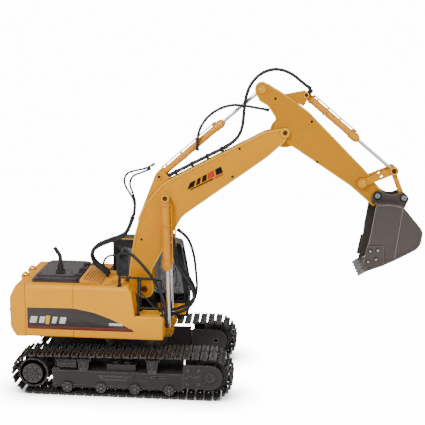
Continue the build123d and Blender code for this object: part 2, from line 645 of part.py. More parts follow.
def cylinder_brackets():
    """Ears at the front of the floor for the two boom cylinder rods."""
    brackets = []
    for side in (-1, 1):
        for y in (BOOM_CYL_Y - 4.9, BOOM_CYL_Y + 4.9):
            face = outline((43, FLOOR_Z - 6), (58, FLOOR_Z - 6, 3), (61.4, 67, 3), (61, 75, 5),
                           (50, 76, 3), (43, 74))
            ear = plate(face, side * y - 1.5, side * y + 1.5)
            away = side * math.copysign(1, y - BOOM_CYL_Y)
            low, high = sorted((side * y, side * y + away * 2.4))
            brackets.append(ear + cross_pin(BOOM_CYL_BASE, 3.4, low, high))
        low, high = sorted((side * (BOOM_CYL_Y - 5), side * (BOOM_CYL_Y + 5)))
        brackets[-1] = fuse(brackets[-1], brackets.pop(-2),
                            block(43, 46.6, low, high, FLOOR_Z - 6, 74))
    return brackets


def battery_pack():
    cells = []
    for row in range(2):
        for column in range(3):
            y = 30 + 15.2 * column
            cells.append(battery_cell(-122, y - 15.2, 81.0 + 15.2 * row))
    tray = block(-124, -66, 6, 54, FLOOR_Z + FLOOR_T, FLOOR_Z + FLOOR_T + 0.4)
    return [*cells, tray]


def battery_cell(x, y, z):
    """One round cell lying along X."""
    return Pos(x + 26, y, z + 0.2) * Rot(0, 90, 0) * Cylinder(7.3, 50)


def control_board():
    board = block(-63, -14, -28, 12, 118, 119.6)
    posts = [block(x, x + 3, y, y + 3, FLOOR_Z + FLOOR_T, 118.1)
             for x in (-62, -18) for y in (-27, 8)]
    chips = [block(-60, -48, -20, -10, 119.5, 121.4), block(-40, -30, -6, 4, 119.5, 121)]
    sockets = [block(-28, -20, -24 + 8 * i, -19 + 8 * i, 119.5, 125) for i in range(4)]
    return fuse(board, *posts, *chips, *sockets)


def slew_motor():
    body = Pos(-66, -42, FLOOR_Z + FLOOR_T + 18) * Cylinder(11, 26)
    gear_case = Pos(-66, -42, FLOOR_Z + FLOOR_T + 2.6) * Cylinder(13, 5)
    lugs = block(-84, -48, -45, -39, FLOOR_Z + FLOOR_T + 0.1, FLOOR_Z + FLOOR_T + 2.2)
    return fuse(body, gear_case, lugs)


def power_switch():
    """Slider that stands out below the floor, moving along X."""
    knob = block(-94, -88, -33.5, -30.5, FLOOR_Z - 1.8, FLOOR_Z + FLOOR_T + 0.5)
    grips = [block(-93.4 + 1.6 * i, -92.6 + 1.6 * i, -33.5, -30.5, FLOOR_Z - 2.3,
                   FLOOR_Z - 1.7) for i in range(4)]
    shoe = block(-95.5, -86.5, -35.5, -28.5, FLOOR_Z + FLOOR_T + 0.3, FLOOR_Z + FLOOR_T + 2.4)
    return fuse(knob, *grips, shoe)


# ------------------------------------------------------------ hoses
def hose(points, bore_r, note):
    """Hose along straight runs joined by arcs as large as the runs allow."""
    radii = []
    for before, here, after in zip(points, points[1:], points[2:]):
        first = Vector(*here) - Vector(*before)
        second = Vector(*after) - Vector(*here)
        turn = math.radians(first.get_angle(second))
        shorter = min(first.length, second.length)
        radii.append(0.45 * shorter / math.tan(turn / 2))
    path = FilletPolyline(*points, radius=radii)
    tube = sweep(Plane(origin=path @ 0, z_dir=path % 0) * Circle(bore_r), path=path)
    share = tube.volume / (math.pi * bore_r ** 2 * path.length)
    print(note, "length", round(path.length, 1), "radii", [round(r) for r in radii],
          "volume share", round(share, 4))
    return tube


# bundle from the deck up to the back of the boom, one route moved sideways
LIFT_ROUTE = [(-28.4, 142.4), (-35, 148), (-46, 155), (-53, 167), (-47, 179.5), (-27, 188.5),
              (-8, 195), (0.4, 207), (4.6, 222)]
LIFT_Y = (-13.4, -8.2, -3.0, 2.2)
UPPER_ROUTES = [
    [(4.9, 224), (7.0, 236), (5.2, 249), (-3.0, 260), (-8.0, 272), (-3.0, 283), (10, 286.5),
     (24, 289.5), (34, 296)],
    [(5.2, 224), (8.2, 240), (3.6, 255), (-1.4, 268), (4.0, 279), (16, 282.4), (28, 288.5)],
]
UPPER_Y = (-8.6, -3.2)
BOOM_TOP_ROUTE = [(52.5, 279.6), (92, 300.8), (124, 317.4)]
ARCH_ROUTE = [(124.6, 317.8), (138.4, 326), (147.6, 341), (149.6, 360), (150.6, 380),
              (156.4, 400), (170, 415.5), (189, 421.8), (208, 417), (222, 406), (235, 396.4)]
THROAT_ROUTE = [(182.5, 368.6), (168, 371.2), (152, 373.6), (136, 375.0), (119, 370.4),
                (104, 360), (94, 346.5), (89.4, 330), (90.4, 314)]
LOOP_Y = -19.5
FRONT_ROUTE = [(55.6, 193), (59, 180), (62.4, 163), (72, 146), (82.6, 131.6), (88.6, 116),
               (84.0, 101.6), (71, 93.6), (58, 88.6), (45.0, 87)]
FRONT_OUTER_ROUTE = [(63, 206), (74.5, 199), (82.6, 185), (87.6, 165), (89.6, 144),
                     (91.6, 124), (88.4, 107), (78, 94), (62, 86), (45.0, 83)]
LOOP_ROUTE = [(-6.0, 167.6), (-14, 171.5), (-24, 172.6), (-32.6, 167), (-34.6, 157),
              (-31, 149.4), (-28.4, 142.2)]
GUARD_ROUTE = [(-2.4, 186.9), (8, 181.4), (20, 169.4), (31, 156.4), (41, 141.6), (49, 124),
               (53.6, 103.6), (55.2, 82)]
FRONT_Y = (-9.4, 9.4)
FRONT_OUTER_Y = (-3.4, 3.4)
THICK_HOSE_R = 2.1
HOSE_R = 1.5


def at_side(route, y):
    return [(x, y, z) for x, z in route]


def lift_hoses():
    hoses = []
    for index, y in enumerate(LIFT_Y):
        shift = 1.6 * (index % 2)
        route = [(x - shift, z + shift) for x, z in LIFT_ROUTE]
        hoses.append(hose(at_side(route, y), HOSE_R, "lift hose"))
    for y in FRONT_Y:
        hoses.append(hose(at_side(FRONT_ROUTE, y), THICK_HOSE_R, "front hose"))
    for y in FRONT_OUTER_Y:
        hoses.append(hose(at_side(FRONT_OUTER_ROUTE, y), HOSE_R, "front outer hose"))
    return hoses


def boom_hoses():
    hoses = [hose(at_side(route, y), HOSE_R, "upper hose")
             for route, y in zip(UPPER_ROUTES, UPPER_Y)]
    for y in (-4.4, 4.4):
        hoses.append(hose_straight(at_side(BOOM_TOP_ROUTE, y), THICK_HOSE_R))
    return hoses


def hose_straight(points, bore_r):
    return round_bar([points[0], points[-1]], bore_r, None)


def arch_hoses():
    hoses = [hose(at_side(ARCH_ROUTE, y), THICK_HOSE_R, "arch hose") for y in (-4.4, 4.4)]
    hoses.append(hose(at_side(THROAT_ROUTE, -6.6), HOSE_R, "throat hose"))
    return hoses


def house_hoses():
    """Hoses that stay on the upper structure, with the deck's connector block."""
    loop = hose(at_side(LOOP_ROUTE, LOOP_Y), HOSE_R, "deck loop hose")
    guard = hose(at_side(GUARD_ROUTE, -44.0), THICK_HOSE_R, "guard hose")
    return [loop, guard]


# ------------------------------------------------------------ boom
BOOM_CORNERS = [(8.4, 119), (-1.6, 139, 10), (6.4, 196, 160), (17.4, 238, 60), (46, 271.4, 46),
                (178, 341.2, 24), (203, 346.6), (209.4, 340), (202.6, 327.4, 4),
                (181, 307.4, 26), (71.4, 226.6, 34), (30.2, 151, 14), (33.0, 124)]


def boom_face():
    return outline(*BOOM_CORNERS) + disc(BOOM_FOOT, 12.6) + disc(STICK_PIVOT, 6.6)


def boom_ear_face():
    return outline((8.6, 214), (34.6, 281.5, 3), (38.6, 286.6, 3), (45, 285.8, 3),
                   (53.5, 277.6), (44, 262), (22, 238))


def boom_half(side):
    """Moulded half of the boom, its wall, border and screw posts."""
    half = BOOM_HALF_Y
    outer_face = boom_face()
    inner_face = offset(outer_face, amount=-WALL)
    shell = plate(outer_face, 0, half) - plate(inner_face, -1, half - WALL)
    border = outer_face - offset(outer_face, amount=-2.2)
    shell = shell + plate(border, half - 0.3, half + 0.7)
    foot_room = plate(disc(BOOM_FOOT, 16.0), -1, half - WALL)
    tip_room = plate(disc(STICK_PIVOT, 25.5), -1, half - WALL)
    cap = plate(disc(BOOM_CYL_TOP, 6.4), half - 0.2, half + 1.4)
    boss = plate(disc(STICK_PIVOT, 6.2), half - 0.2, half + 1.8)
    ear = plate(boom_ear_face(), 5.6, 8.6) - plate(offset(outer_face, amount=-0.2), 0, 20)
    shell = fuse(shell - foot_room - tip_room, cap, boss, ear)
    for spot in ((16.7, 193.3), (145.4, 318.3), (136.9, 281.5)):
        shell = shell - cross_pin(spot, 1.7, half - 1.2, half + 2)
    shell = shell - cross_pin(BOOM_FOOT, ARM_PIN_R, -1, 20)
    shell = shell - cross_pin(BOOM_CYL_TOP, ARM_PIN_R, -1, 20)
    shell = shell - cross_pin(STICK_PIVOT, ARM_PIN_R, -1, 20)
    shell = shell - cross_pin(STICK_CYL_BASE, SMALL_PIN_R, -1, 20)
    if side < 0:
        shell = mirror(shell, about=Plane.XZ)
    return shell


def headed_pin(centre, radius, half_length):
    shank = cross_pin(centre, radius, -half_length, half_length)
    heads = [cross_pin(centre, radius + 1.0, half_length - 0.1, half_length + 1.0),
             cross_pin(centre, radius + 1.0, -half_length - 1.0, -half_length + 0.1)]
    return fuse(shank, *heads)


def boom_pins():
    foot = cross_pin(BOOM_FOOT, ARM_PIN_R - 0.01, -BOOM_HALF_Y - 1, BOOM_HALF_Y + 1)
    top = headed_pin(BOOM_CYL_TOP, ARM_PIN_R - 0.01, BOOM_CYL_Y + 4.4)
    tip = cross_pin(STICK_PIVOT, ARM_PIN_R - 0.01, -BOOM_HALF_Y - 1.2, BOOM_HALF_Y + 1.2)
    ear = headed_pin(STICK_CYL_BASE, SMALL_PIN_R - 0.01, 8.7)
    return [foot, top, tip, ear]


def boom_gearbox():
    """Gear motor inside the boom that lifts it, with its lead to the tip."""
    lower = Location((22, 0, 190), (0, 6, 0)) * Box(20, 17, 60)
    shaft = Location((19, 0, 156), (0, 6, 0)) * Cylinder(3, 12)
    return fuse(lower, shaft)


# ------------------------------------------------------------ cylinders
def ram_barrel(base, tip, length, barrel_r, eye_half, pin_r, y=0.0):
    """Cylinder barrel with its eye and gland, and the drill for its pin hole."""
    local = axis_location(base, tip, y)
    body = Pos(0, 0, 5 + (length - 5) / 2) * Cylinder(barrel_r, length - 5)
    gland = Pos(0, 0, length - 5) * Cylinder(barrel_r + 0.9, 10)
    nose = Pos(0, 0, length + 1) * Cylinder(barrel_r - 0.6, 2.4)
    neck = Pos(0, 0, 5) * Box(2 * eye_half, 2 * barrel_r, 10)
    eye = Rot(0, 90, 0) * Cylinder(barrel_r, 2 * eye_half)
    return local, fuse(body, gland, nose, neck, eye), Rot(0, 90, 0) * Cylinder(pin_r, 60)


def barrel_pipe(length, barrel_r):
    """Feed pipe along a barrel, held by clips."""
    pipe = Pos(0, barrel_r + 2.2, 8 + (length - 12) / 2) * Cylinder(0.9, length - 16)
    clips = [Pos(0, barrel_r + 1.0, z) * Box(2.4, 3.6, 2.2)
             for z in (16, length * 0.38, length * 0.62, length - 12)]
    return fuse(pipe, *clips)


BOOM_CYL_BARREL = 96.0
STICK_CYL_BARREL = 110.0
BUCKET_CYL_BARREL = 88.0
BOOM_ROD_START = 60.0
STICK_ROD_START = 52.0
BUCKET_ROD_START = 42.0
ROD_GAP = 0.3


def make_barrel(base, tip, length, barrel_r, eye_half, pin_r, rod_r, y=0.0):
    local, body, pin_hole = ram_barrel(base, tip, length, barrel_r, eye_half, pin_r, y)
    bore = Pos(0, 0, 12 + length / 2) * Cylinder(rod_r + ROD_GAP, length + 6)
    solid = body + barrel_pipe(length, barrel_r)
    solid = solid - bore - pin_hole
    return local * solid


def make_rod(base, tip, start, rod_r, eye_r, eye_half, y=0.0):
    """Rod from a distance inside the barrel to its eye at the tip."""
    total = distance(base, tip)
    local = axis_location(base, tip, y)
    shaft = Pos(0, 0, (start + total - 2) / 2) * Cylinder(rod_r, total - 2 - start)
    eye = Pos(0, 0, total) * Rot(0, 90, 0) * Cylinder(eye_r, 2 * eye_half)
    hole = Pos(0, 0, total) * Rot(0, 90, 0) * Cylinder(eye_r - 1.9, 20)
    pin = Pos(0, 0, total) * Rot(0, 90, 0) * Cylinder(eye_r - 1.9 - 0.05, 2 * eye_half)
    rod = shaft + eye - hole
    return [local * rod, local * pin]


def build_cylinders():
    barrels = []
    rods = []
    for side in (-1, 1):
        barrels.append(make_barrel(BOOM_CYL_TOP, BOOM_CYL_BASE, BOOM_CYL_BARREL, 5.4, 3.6,
                                   ARM_PIN_R + RUN_GAP, 3.3, side * BOOM_CYL_Y))
        rods += make_rod(BOOM_CYL_TOP, BOOM_CYL_BASE, BOOM_ROD_START, 3.3, 5.0, 2.9,
                         side * BOOM_CYL_Y)
    save("boom_cylinder_barrels", *barrels)
    save("boom_cylinder_rods", *rods)
    save("stick_cylinder_barrel",
         make_barrel(STICK_CYL_BASE, STICK_CYL_TIP, STICK_CYL_BARREL, 4.5, 4.6,
                     SMALL_PIN_R + RUN_GAP, 2.3))
    save("stick_cylinder_rod",
         *make_rod(STICK_CYL_BASE, STICK_CYL_TIP, STICK_ROD_START, 2.3, 4.2, 3.4))
    save("bucket_cylinder_barrel",
         make_barrel(BUCKET_CYL_BASE, ROCKER_TIP, BUCKET_CYL_BARREL, 4.6, 4.4,
                     SMALL_PIN_R + RUN_GAP, 2.3))
    save("bucket_cylinder_rod",
         *make_rod(BUCKET_CYL_BASE, ROCKER_TIP, BUCKET_ROD_START, 2.3, 4.2, 3.4))


# ------------------------------------------------------------ stick
STICK_CORNERS = [(163.6, 391), (166, 402, 6), (179.4, 402.4, 8), (209, 385, 16),
                 (234.6, 366.4, 16), (310.4, 292.2, 4), (323.4, 277), (335.6, 263.6, 6),
                 (330, 252.6, 5), (321.4, 246.6), (290, 273, 40), (204, 328.6, 10),
                 (191, 334, 6), (189.0, 347, 6), (191.4, 358, 8), (181, 373.4, 12),
                 (169.4, 380.4, 8)]


def stick_face():
    return outline(*STICK_CORNERS) + disc(STICK_CYL_TIP, 9.0)


def stick_half(side):
    """Moulded half of the stick with its guard, ears and screw recesses."""
    half = STICK_HALF_Y
    outer_face = stick_face()
    inner_face = offset(outer_face, amount=-WALL)
    shell = plate(outer_face, 0, half) - plate(inner_face, -1, half - WALL)
    seams = [((184, 400), (165.4, 377.6)), ((238, 368), (220, 312)), ((299, 304), (286, 270))]
    border = outer_face - offset(outer_face, amount=-1.8)
    border = border - disc(STICK_PIVOT, 26)
    shell = shell + plate(border, half - 0.3, half + 0.2)
    guard = disc(STICK_PIVOT, 19.6)
    shell = shell + plate(guard - offset(outer_face, amount=-0.4), 0, 7.4)
    rear_room = plate(disc(STICK_CYL_TIP, 16.5), -1, half - WALL)
    shell = shell - rear_room
    ear_face = outline((200, 388.6), (227.9, 394.2, 3), (233.6, 389, 3), (226.6, 374),
                       (204, 386))
    ear = plate(ear_face, 5.4, 8.0) - plate(offset(outer_face, amount=-0.2), 0, 20)
    shell = shell + ear
    for spot in ((189.9, 383.5), (237.5, 355.0), (246.5, 303.1)):
        shell = shell - cross_pin(spot, 1.7, half - 1.2, half + 2)
    shell = shell - cross_pin(STICK_PIVOT, ARM_PIN_R + RUN_GAP, -1, 20)
    shell = shell - cross_pin(BUCKET_CYL_BASE, SMALL_PIN_R + RUN_GAP, -1, 20)
    shell = shell - cross_pin(ROCKER_PIVOT, SMALL_PIN_R + RUN_GAP, -1, 20)
    shell = shell - cross_pin(BUCKET_PIVOT, SMALL_PIN_R + RUN_GAP, -1, 20)
    for start, end in seams:
        middle = between(start, end, 0.5)
        tilt = math.degrees(math.atan2(end[1] - start[1], end[0] - start[0]))
        groove = Pos(*middle) * Rot(0, 0, tilt) * Rectangle(distance(start, end), 0.5)
        shell = shell - plate(groove, half - 0.35, half + 2)
    if side < 0:
        shell = mirror(shell, about=Plane.XZ)
    return shell


# ------------------------------------------------------------ bucket linkage
LEVER_LOW_Y = 10.5
LEVER_HIGH_Y = 13.1


def rocker_levers():
    """Two levers with their pivot pin and tip stubs."""
    across = (ROCKER_TIP[1] - ROCKER_PIVOT[1]) / distance(ROCKER_PIVOT, ROCKER_TIP)
    along = (ROCKER_TIP[0] - ROCKER_PIVOT[0]) / distance(ROCKER_PIVOT, ROCKER_TIP)
    shift = (-across * 4.4, along * 4.4)
    bar = outline((ROCKER_PIVOT[0] + shift[0], ROCKER_PIVOT[1] + shift[1]),
                  (ROCKER_TIP[0] + shift[0], ROCKER_TIP[1] + shift[1]),
                  (ROCKER_TIP[0] - shift[0], ROCKER_TIP[1] - shift[1]),
                  (ROCKER_PIVOT[0] - shift[0], ROCKER_PIVOT[1] - shift[1]))
    face = bar + disc(ROCKER_PIVOT, 7.0) + disc(ROCKER_TIP, 6.0)
    middle = between(ROCKER_PIVOT, ROCKER_TIP, 0.6)
    face = face + disc(middle, 4.8)
    levers = []
    for side in (1, -1):
        lever = plate(face, LEVER_LOW_Y, LEVER_HIGH_Y)
        ring = disc(ROCKER_TIP, 5.2) - disc(ROCKER_TIP, 3.2)
        lever = lever + plate(ring, LEVER_HIGH_Y - 0.1, LEVER_HIGH_Y + 1.2)
        lever = lever + plate(disc(ROCKER_PIVOT, 5.4), LEVER_HIGH_Y - 0.1, LEVER_HIGH_Y + 1.4)
        lever = lever - cross_pin(middle, 1.8, 0, 20)
        lever = lever + cross_pin(ROCKER_TIP, SMALL_PIN_R, 7.2, LEVER_LOW_Y + 0.1)
        if side < 0:
            lever = mirror(lever, about=Plane.XZ)
        levers.append(lever)
    pin = cross_pin(ROCKER_PIVOT, SMALL_PIN_R, -LEVER_LOW_Y - 0.1, LEVER_LOW_Y + 0.1)
    return [fuse(*levers, pin)]


def bucket_link():
    """H-shaped link from the rocker tip to the bucket ears."""
    eye_low, eye_high = 7.3, 10.2
    bar_r = 2.4
    direction = Vector(LINK_TIP[0] - ROCKER_TIP[0], LINK_TIP[1] - ROCKER_TIP[1]).normalized()
    side_step = (-direction.Y * bar_r, direction.X * bar_r)
    bar = outline((ROCKER_TIP[0] + side_step[0], ROCKER_TIP[1] + side_step[1]),
                  (LINK_TIP[0] + side_step[0], LINK_TIP[1] + side_step[1]),
                  (LINK_TIP[0] - side_step[0], LINK_TIP[1] - side_step[1]),
                  (ROCKER_TIP[0] - side_step[0], ROCKER_TIP[1] - side_step[1]))
    face = bar + disc(ROCKER_TIP, 4.4) + disc(LINK_TIP, 4.2)
    cheeks = [plate(face, eye_low, eye_high), plate(face, -eye_high, -eye_low)]
    web_face = disc(between(ROCKER_TIP, LINK_TIP, 0.66), 2.4)
    web = plate(web_face, -eye_low - 0.1, eye_low + 0.1)
    tube = plate(disc(LINK_TIP, 3.6), -eye_low - 0.1, eye_low + 0.1)
    return fuse(*cheeks, web, tube) - cross_pin(ROCKER_TIP, SMALL_PIN_R + RUN_GAP, -20, 20)


EAR_LOW_Y = 10.6
EAR_HIGH_Y = 13.8


def bucket_outline():
    return outline((322.6, 254.4), (340, 254.0, 20), (355.5, 252.2, 6), (369.5, 236.2, 30),
                   (383.5, 220, 14), (381.0, 198, 18), (354, 182.4, 30), (334.5, 172.4),
                   (311.4, 163.4))


def bucket_shell():
    outer_face = bucket_outline()
    inner_face = offset(outer_face, amount=-WALL)
    mouth = outline((322.8, 252.4), (312.6, 165.8), (290, 165.8), (290, 252.4))
    inner = plate(inner_face, -BUCKET_HALF_Y + WALL, BUCKET_HALF_Y - WALL)
    throat_face = outline((321.5, 252.4), (330, 252.3), (322, 170), (311, 165.8))
    throat = plate(throat_face, -BUCKET_HALF_Y + WALL, BUCKET_HALF_Y - WALL)
    room = plate(mouth, -BUCKET_HALF_Y + WALL, BUCKET_HALF_Y - WALL)
    bucket = plate(outer_face, -BUCKET_HALF_Y, BUCKET_HALF_Y) - inner - throat - room
    ear_face = outline((319.2, 250), (319.4, 262, 3), (326, 268.4, 5), (333.6, 266.6, 4),
                       (343, 260.4, 16), (352.6, 264.8, 4), (360, 266.6, 5), (367, 259, 4),
                       (361.6, 245.4))
    ear_face = ear_face - (bucket_inside_face())
    ears = [plate(ear_face, EAR_LOW_Y, EAR_HIGH_Y), plate(ear_face, -EAR_HIGH_Y, -EAR_LOW_Y)]
    rib = outer_face - offset(outer_face, amount=-2.6)
    strip = outline((306, 150), (400, 150), (400, 236), (350, 206), (334, 186), (300, 176))
    rim = [plate(rib & strip, BUCKET_HALF_Y - 0.1, BUCKET_HALF_Y + 0.8),
           plate(rib & strip, -BUCKET_HALF_Y - 0.8, -BUCKET_HALF_Y + 0.1)]
    notch = plate(disc(BUCKET_PIVOT, 17.2), -EAR_LOW_Y, EAR_LOW_Y)
    cutter_face = outline((313.4, 198.4), (334.4, 198.6), (336, 172.6), (310, 171.0, 1),
                          (309.0, 172.4))
    cutters = [plate(cutter_face, BUCKET_HALF_Y - 0.1, BUCKET_HALF_Y + 1.6),
               plate(cutter_face, -BUCKET_HALF_Y - 1.6, -BUCKET_HALF_Y + 0.1)]
    bolts = []
    for spot in ((317.4, 192), (327, 193.4), (315.4, 178), (325.4, 181.4)):
        bolts += both_sides(cross_pin(spot, 1.7, BUCKET_HALF_Y + 1.5, BUCKET_HALF_Y + 2.6))
    pin_hole = cross_pin(BUCKET_PIVOT, SMALL_PIN_R, -20, 20)
    return fuse(bucket, *ears, *rim, *cutters, *bolts) - notch - pin_hole


def bucket_inside_face():
    """Side view of the space inside the bucket, which the ears stay out of."""
    return outline((318, 252.4), (339.6, 252.1, 20), (354.6, 250.2, 5), (372, 230), (330, 170),
                   (300, 170), (300, 252.4))


def bucket_teeth():
    """Cutting edge teeth, one wedge each."""
    teeth = []
    for index in range(5):
        y = (index - 2) * 14.6
        face = outline((304.6, 157.6), (316.4, 165.6), (326, 169.4), (324.6, 172.6),
                       (315, 168.6), (303.4, 160.2))
        lip = bucket_outline()
        tooth = plate(face, y - 3.6, y + 3.6)
        teeth.append(tooth - plate(lip, -60, 60))
    return teeth


def bucket_pins():
    pivot = fuse(cross_pin(BUCKET_PIVOT, SMALL_PIN_R, -15.4, 15.4),
                 *[cross_pin(BUCKET_PIVOT, 3.6, y, y + 1.6) for y in (-15.4, 13.8)])
    tips = both_sides(fuse(cross_pin(LINK_TIP, 3.6, EAR_HIGH_Y, EAR_HIGH_Y + 1.6)))
    return [pivot, *tips]


# ------------------------------------------------------------ write every node
build_undercarriage()
save("lower_frame", lower_frame())
save("slew_ring", slew_ring())
save("house_floor", house_floor())
save("house_shell", house_shell())
save("counterweight", counterweight())
save("engine_hood", engine_hood(), *hood_latches())
save("exhaust", exhaust())
save("louver_panel", louver_panel())
save("right_step_box", step_box())
save("cab_shell", cab_shell())
save("cab_glazing", *cab_glazing())
save("cab_interior", *cab_interior())
save("handrails", *handrails())
save("side_mirror", side_mirror())
save("boom_bracket", boom_bracket())
save("cylinder_brackets", *cylinder_brackets())
save("battery_pack", *battery_pack())
save("control_board", control_board())
save("slew_motor", slew_motor())
save("power_switch", power_switch())
save("house_hoses", *house_hoses())
save("lift_hoses", *lift_hoses())
save("boom_hoses", *boom_hoses())
save("arch_hoses", *arch_hoses())
save("boom_right_shell", boom_half(-1))
save("boom_left_shell", boom_half(1))
save("boom_pins", *boom_pins())
save("boom_gearbox", boom_gearbox())
build_cylinders()
save("stick_right_shell", stick_half(-1))
save("stick_left_shell", stick_half(1))
save("rocker_levers", *rocker_levers())
save("bucket_link", bucket_link())
save("bucket_shell", bucket_shell())
save("bucket_teeth", *bucket_teeth())
save("bucket_pins", *bucket_pins())
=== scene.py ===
import json
import math
import bpy
import numpy as np
from mathutils import Matrix, Vector


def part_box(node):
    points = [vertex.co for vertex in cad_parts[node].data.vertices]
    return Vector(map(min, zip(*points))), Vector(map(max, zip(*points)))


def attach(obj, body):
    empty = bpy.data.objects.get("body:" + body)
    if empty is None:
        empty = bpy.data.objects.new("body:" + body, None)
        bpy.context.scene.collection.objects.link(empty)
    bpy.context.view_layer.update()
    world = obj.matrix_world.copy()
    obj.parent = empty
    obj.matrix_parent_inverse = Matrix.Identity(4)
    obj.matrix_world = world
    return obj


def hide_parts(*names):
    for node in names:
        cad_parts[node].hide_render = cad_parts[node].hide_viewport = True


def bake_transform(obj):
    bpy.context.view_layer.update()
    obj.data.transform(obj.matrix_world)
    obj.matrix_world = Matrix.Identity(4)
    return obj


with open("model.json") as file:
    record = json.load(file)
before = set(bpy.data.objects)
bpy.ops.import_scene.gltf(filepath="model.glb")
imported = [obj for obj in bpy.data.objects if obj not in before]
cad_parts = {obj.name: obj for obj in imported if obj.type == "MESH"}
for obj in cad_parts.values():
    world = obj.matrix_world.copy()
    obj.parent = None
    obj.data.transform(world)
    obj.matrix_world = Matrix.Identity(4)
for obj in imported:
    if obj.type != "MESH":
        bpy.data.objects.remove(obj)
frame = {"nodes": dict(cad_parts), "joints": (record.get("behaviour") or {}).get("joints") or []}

# Tracked remote control excavator. Shapes are worked out in millimetres and put
# into meshes in metres. X forward, Y to the machine's left, Z up.

MM = 0.001
TAU = 2 * math.pi


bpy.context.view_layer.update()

# ------------------------------------------------------------ places from the frame
pivot = {joint["name"]: np.array(joint["pos_m"]) / MM
         for joint in frame["joints"] if "pos_m" in joint}
slide_axis = {joint["name"]: np.array(joint["axis"], float)
              for joint in frame["joints"] if joint["type"] == "slide"}
low_corner = {name: np.array(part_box(name)[0]) / MM for name in frame["nodes"]}
high_corner = {name: np.array(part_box(name)[1]) / MM for name in frame["nodes"]}

HOUSE_SIDE_Y = low_corner["house_shell"][1]
DECK_Z = 139.5
STICK_REAR_PIN = np.array([172.3, 0.0, 395.4])
LINK_LOW_PIN = np.array([359.8, 0.0, 259.4])
BOOM_HALF_Y = 12.5
STICK_HALF_Y = 10.0
BUCKET_HALF_Y = 33.0
TRACK_MID_Y = 66.75


# ------------------------------------------------------------ shapes
# A shape is (points, loops, sizes): N x 3 points in mm, the corner indices of all
# faces in one row, and the number of corners of each face.
def grid_shape(grid, capped=True, ring=True):
    """Rows of points joined by quads; rows close round when ring, ends close when capped."""
    rows, count = grid.shape[:2]
    index = np.arange(rows * count).reshape(rows, count)
    if ring:
        index = np.column_stack([index, index[:, 0]])
    quads = np.stack([index[:-1, :-1], index[1:, :-1], index[1:, 1:], index[:-1, 1:]], -1)
    loops = quads.reshape(-1)
    sizes = np.full(len(loops) // 4, 4)
    points = grid.reshape(-1, 3)
    if capped:
        loops = np.concatenate([loops, index[0, :count], index[-1, :count][::-1]])
        sizes = np.concatenate([sizes, [count, count]])
        if enclosed(points, quads.reshape(-1, 4), index, count) < 0:
            loops, sizes = loops[::-1], sizes[::-1]
    return points, loops, sizes


def enclosed(points, quads, index, count):
    """Six times the signed volume inside quads and end caps.

    Each triangle makes a tetrahedron with the middle of the points.
    """
    first = index[0, :count]
    last = index[-1, :count][::-1]
    fans = [np.stack([np.full(count - 2, cap[0]), cap[1:-1], cap[2:]], -1) for cap in (first, last)]
    triangles = np.concatenate([quads[:, [0, 1, 2]], quads[:, [0, 2, 3]], *fans])
    a, b, c = (points[triangles[:, k]] - points.mean(0) for k in range(3))
    return float(np.einsum("ij,ij->i", a, np.cross(b, c)).sum())


def join(*shapes):
    """Several shapes as one."""
    starts = np.cumsum([0] + [len(shape[0]) for shape in shapes[:-1]])
    points = np.concatenate([shape[0] for shape in shapes])
    loops = np.concatenate([shape[1] + start for shape, start in zip(shapes, starts)])
    return points, loops, np.concatenate([shape[2] for shape in shapes])


def moved(shape, matrix=np.eye(3), offset=(0, 0, 0)):
    """Each point becomes matrix times point plus offset; a mirroring matrix flips the faces."""
    points, loops, sizes = shape
    if np.linalg.det(matrix) < 0:
        loops, sizes = loops[::-1], sizes[::-1]
    return points @ np.asarray(matrix, float).T + np.asarray(offset, float), loops, sizes


def copies(shape, centres, turns=None):
    """The shape at every centre, each copy turned by its own matrix when turns are given."""
    points, loops, sizes = shape
    centres = np.atleast_2d(np.asarray(centres, float))
    count = len(centres)
    turns = np.broadcast_to(np.eye(3), (count, 3, 3)) if turns is None else turns
    cloud = np.einsum("nij,pj->npi", turns, points) + centres[:, None]
    starts = np.arange(count)[:, None] * len(points)
    return cloud.reshape(-1, 3), (loops[None] + starts).reshape(-1), np.tile(sizes, count)


MIRROR = np.diag([1.0, -1.0, 1.0])
FACE_RIGHT = np.diag([-1.0, -1.0, 1.0])


def both(shape):
    """The shape and its mirror image on the other side of the middle plane."""
    return join(shape, moved(shape, MIRROR))


def turned(profile, sides=40, flats=0, flat_rows=()):
    """Profile of (radius, height) spun about +Y: (r cos a, h, r sin a).

    In flat_rows the radius is cut to a polygon with that many flats:
    r becomes the smaller of r and flat / cos(a within one flat).
    """
    profile = np.asarray(profile, float)
    angle = np.linspace(0, TAU, sides, endpoint=False)
    radius = np.repeat(profile[:, :1], sides, axis=1)
    if flats:
        within = np.mod(angle, TAU / flats) - math.pi / flats
        apothem = profile[:, :1] * math.cos(math.pi / flats) / np.cos(within)
        rows = np.isin(np.arange(len(profile)), flat_rows)[:, None]
        radius = np.where(rows, apothem, radius)
    height = np.repeat(profile[:, 1:2], sides, axis=1)
    return grid_shape(np.stack([radius * np.cos(angle), height, radius * np.sin(angle)], -1))


def aim(direction):
    """Turn that carries +Y onto a direction."""
    along = np.asarray(direction, float) / np.linalg.norm(direction)
    helper = np.array([0, 1.0, 0]) if abs(along[1]) < 0.9 else np.array([1.0, 0, 0])
    side = np.cross(along, helper)
    side /= np.linalg.norm(side)
    return np.column_stack([side, along, np.cross(side, along)])


UPWARD = aim((0, 0, 1))


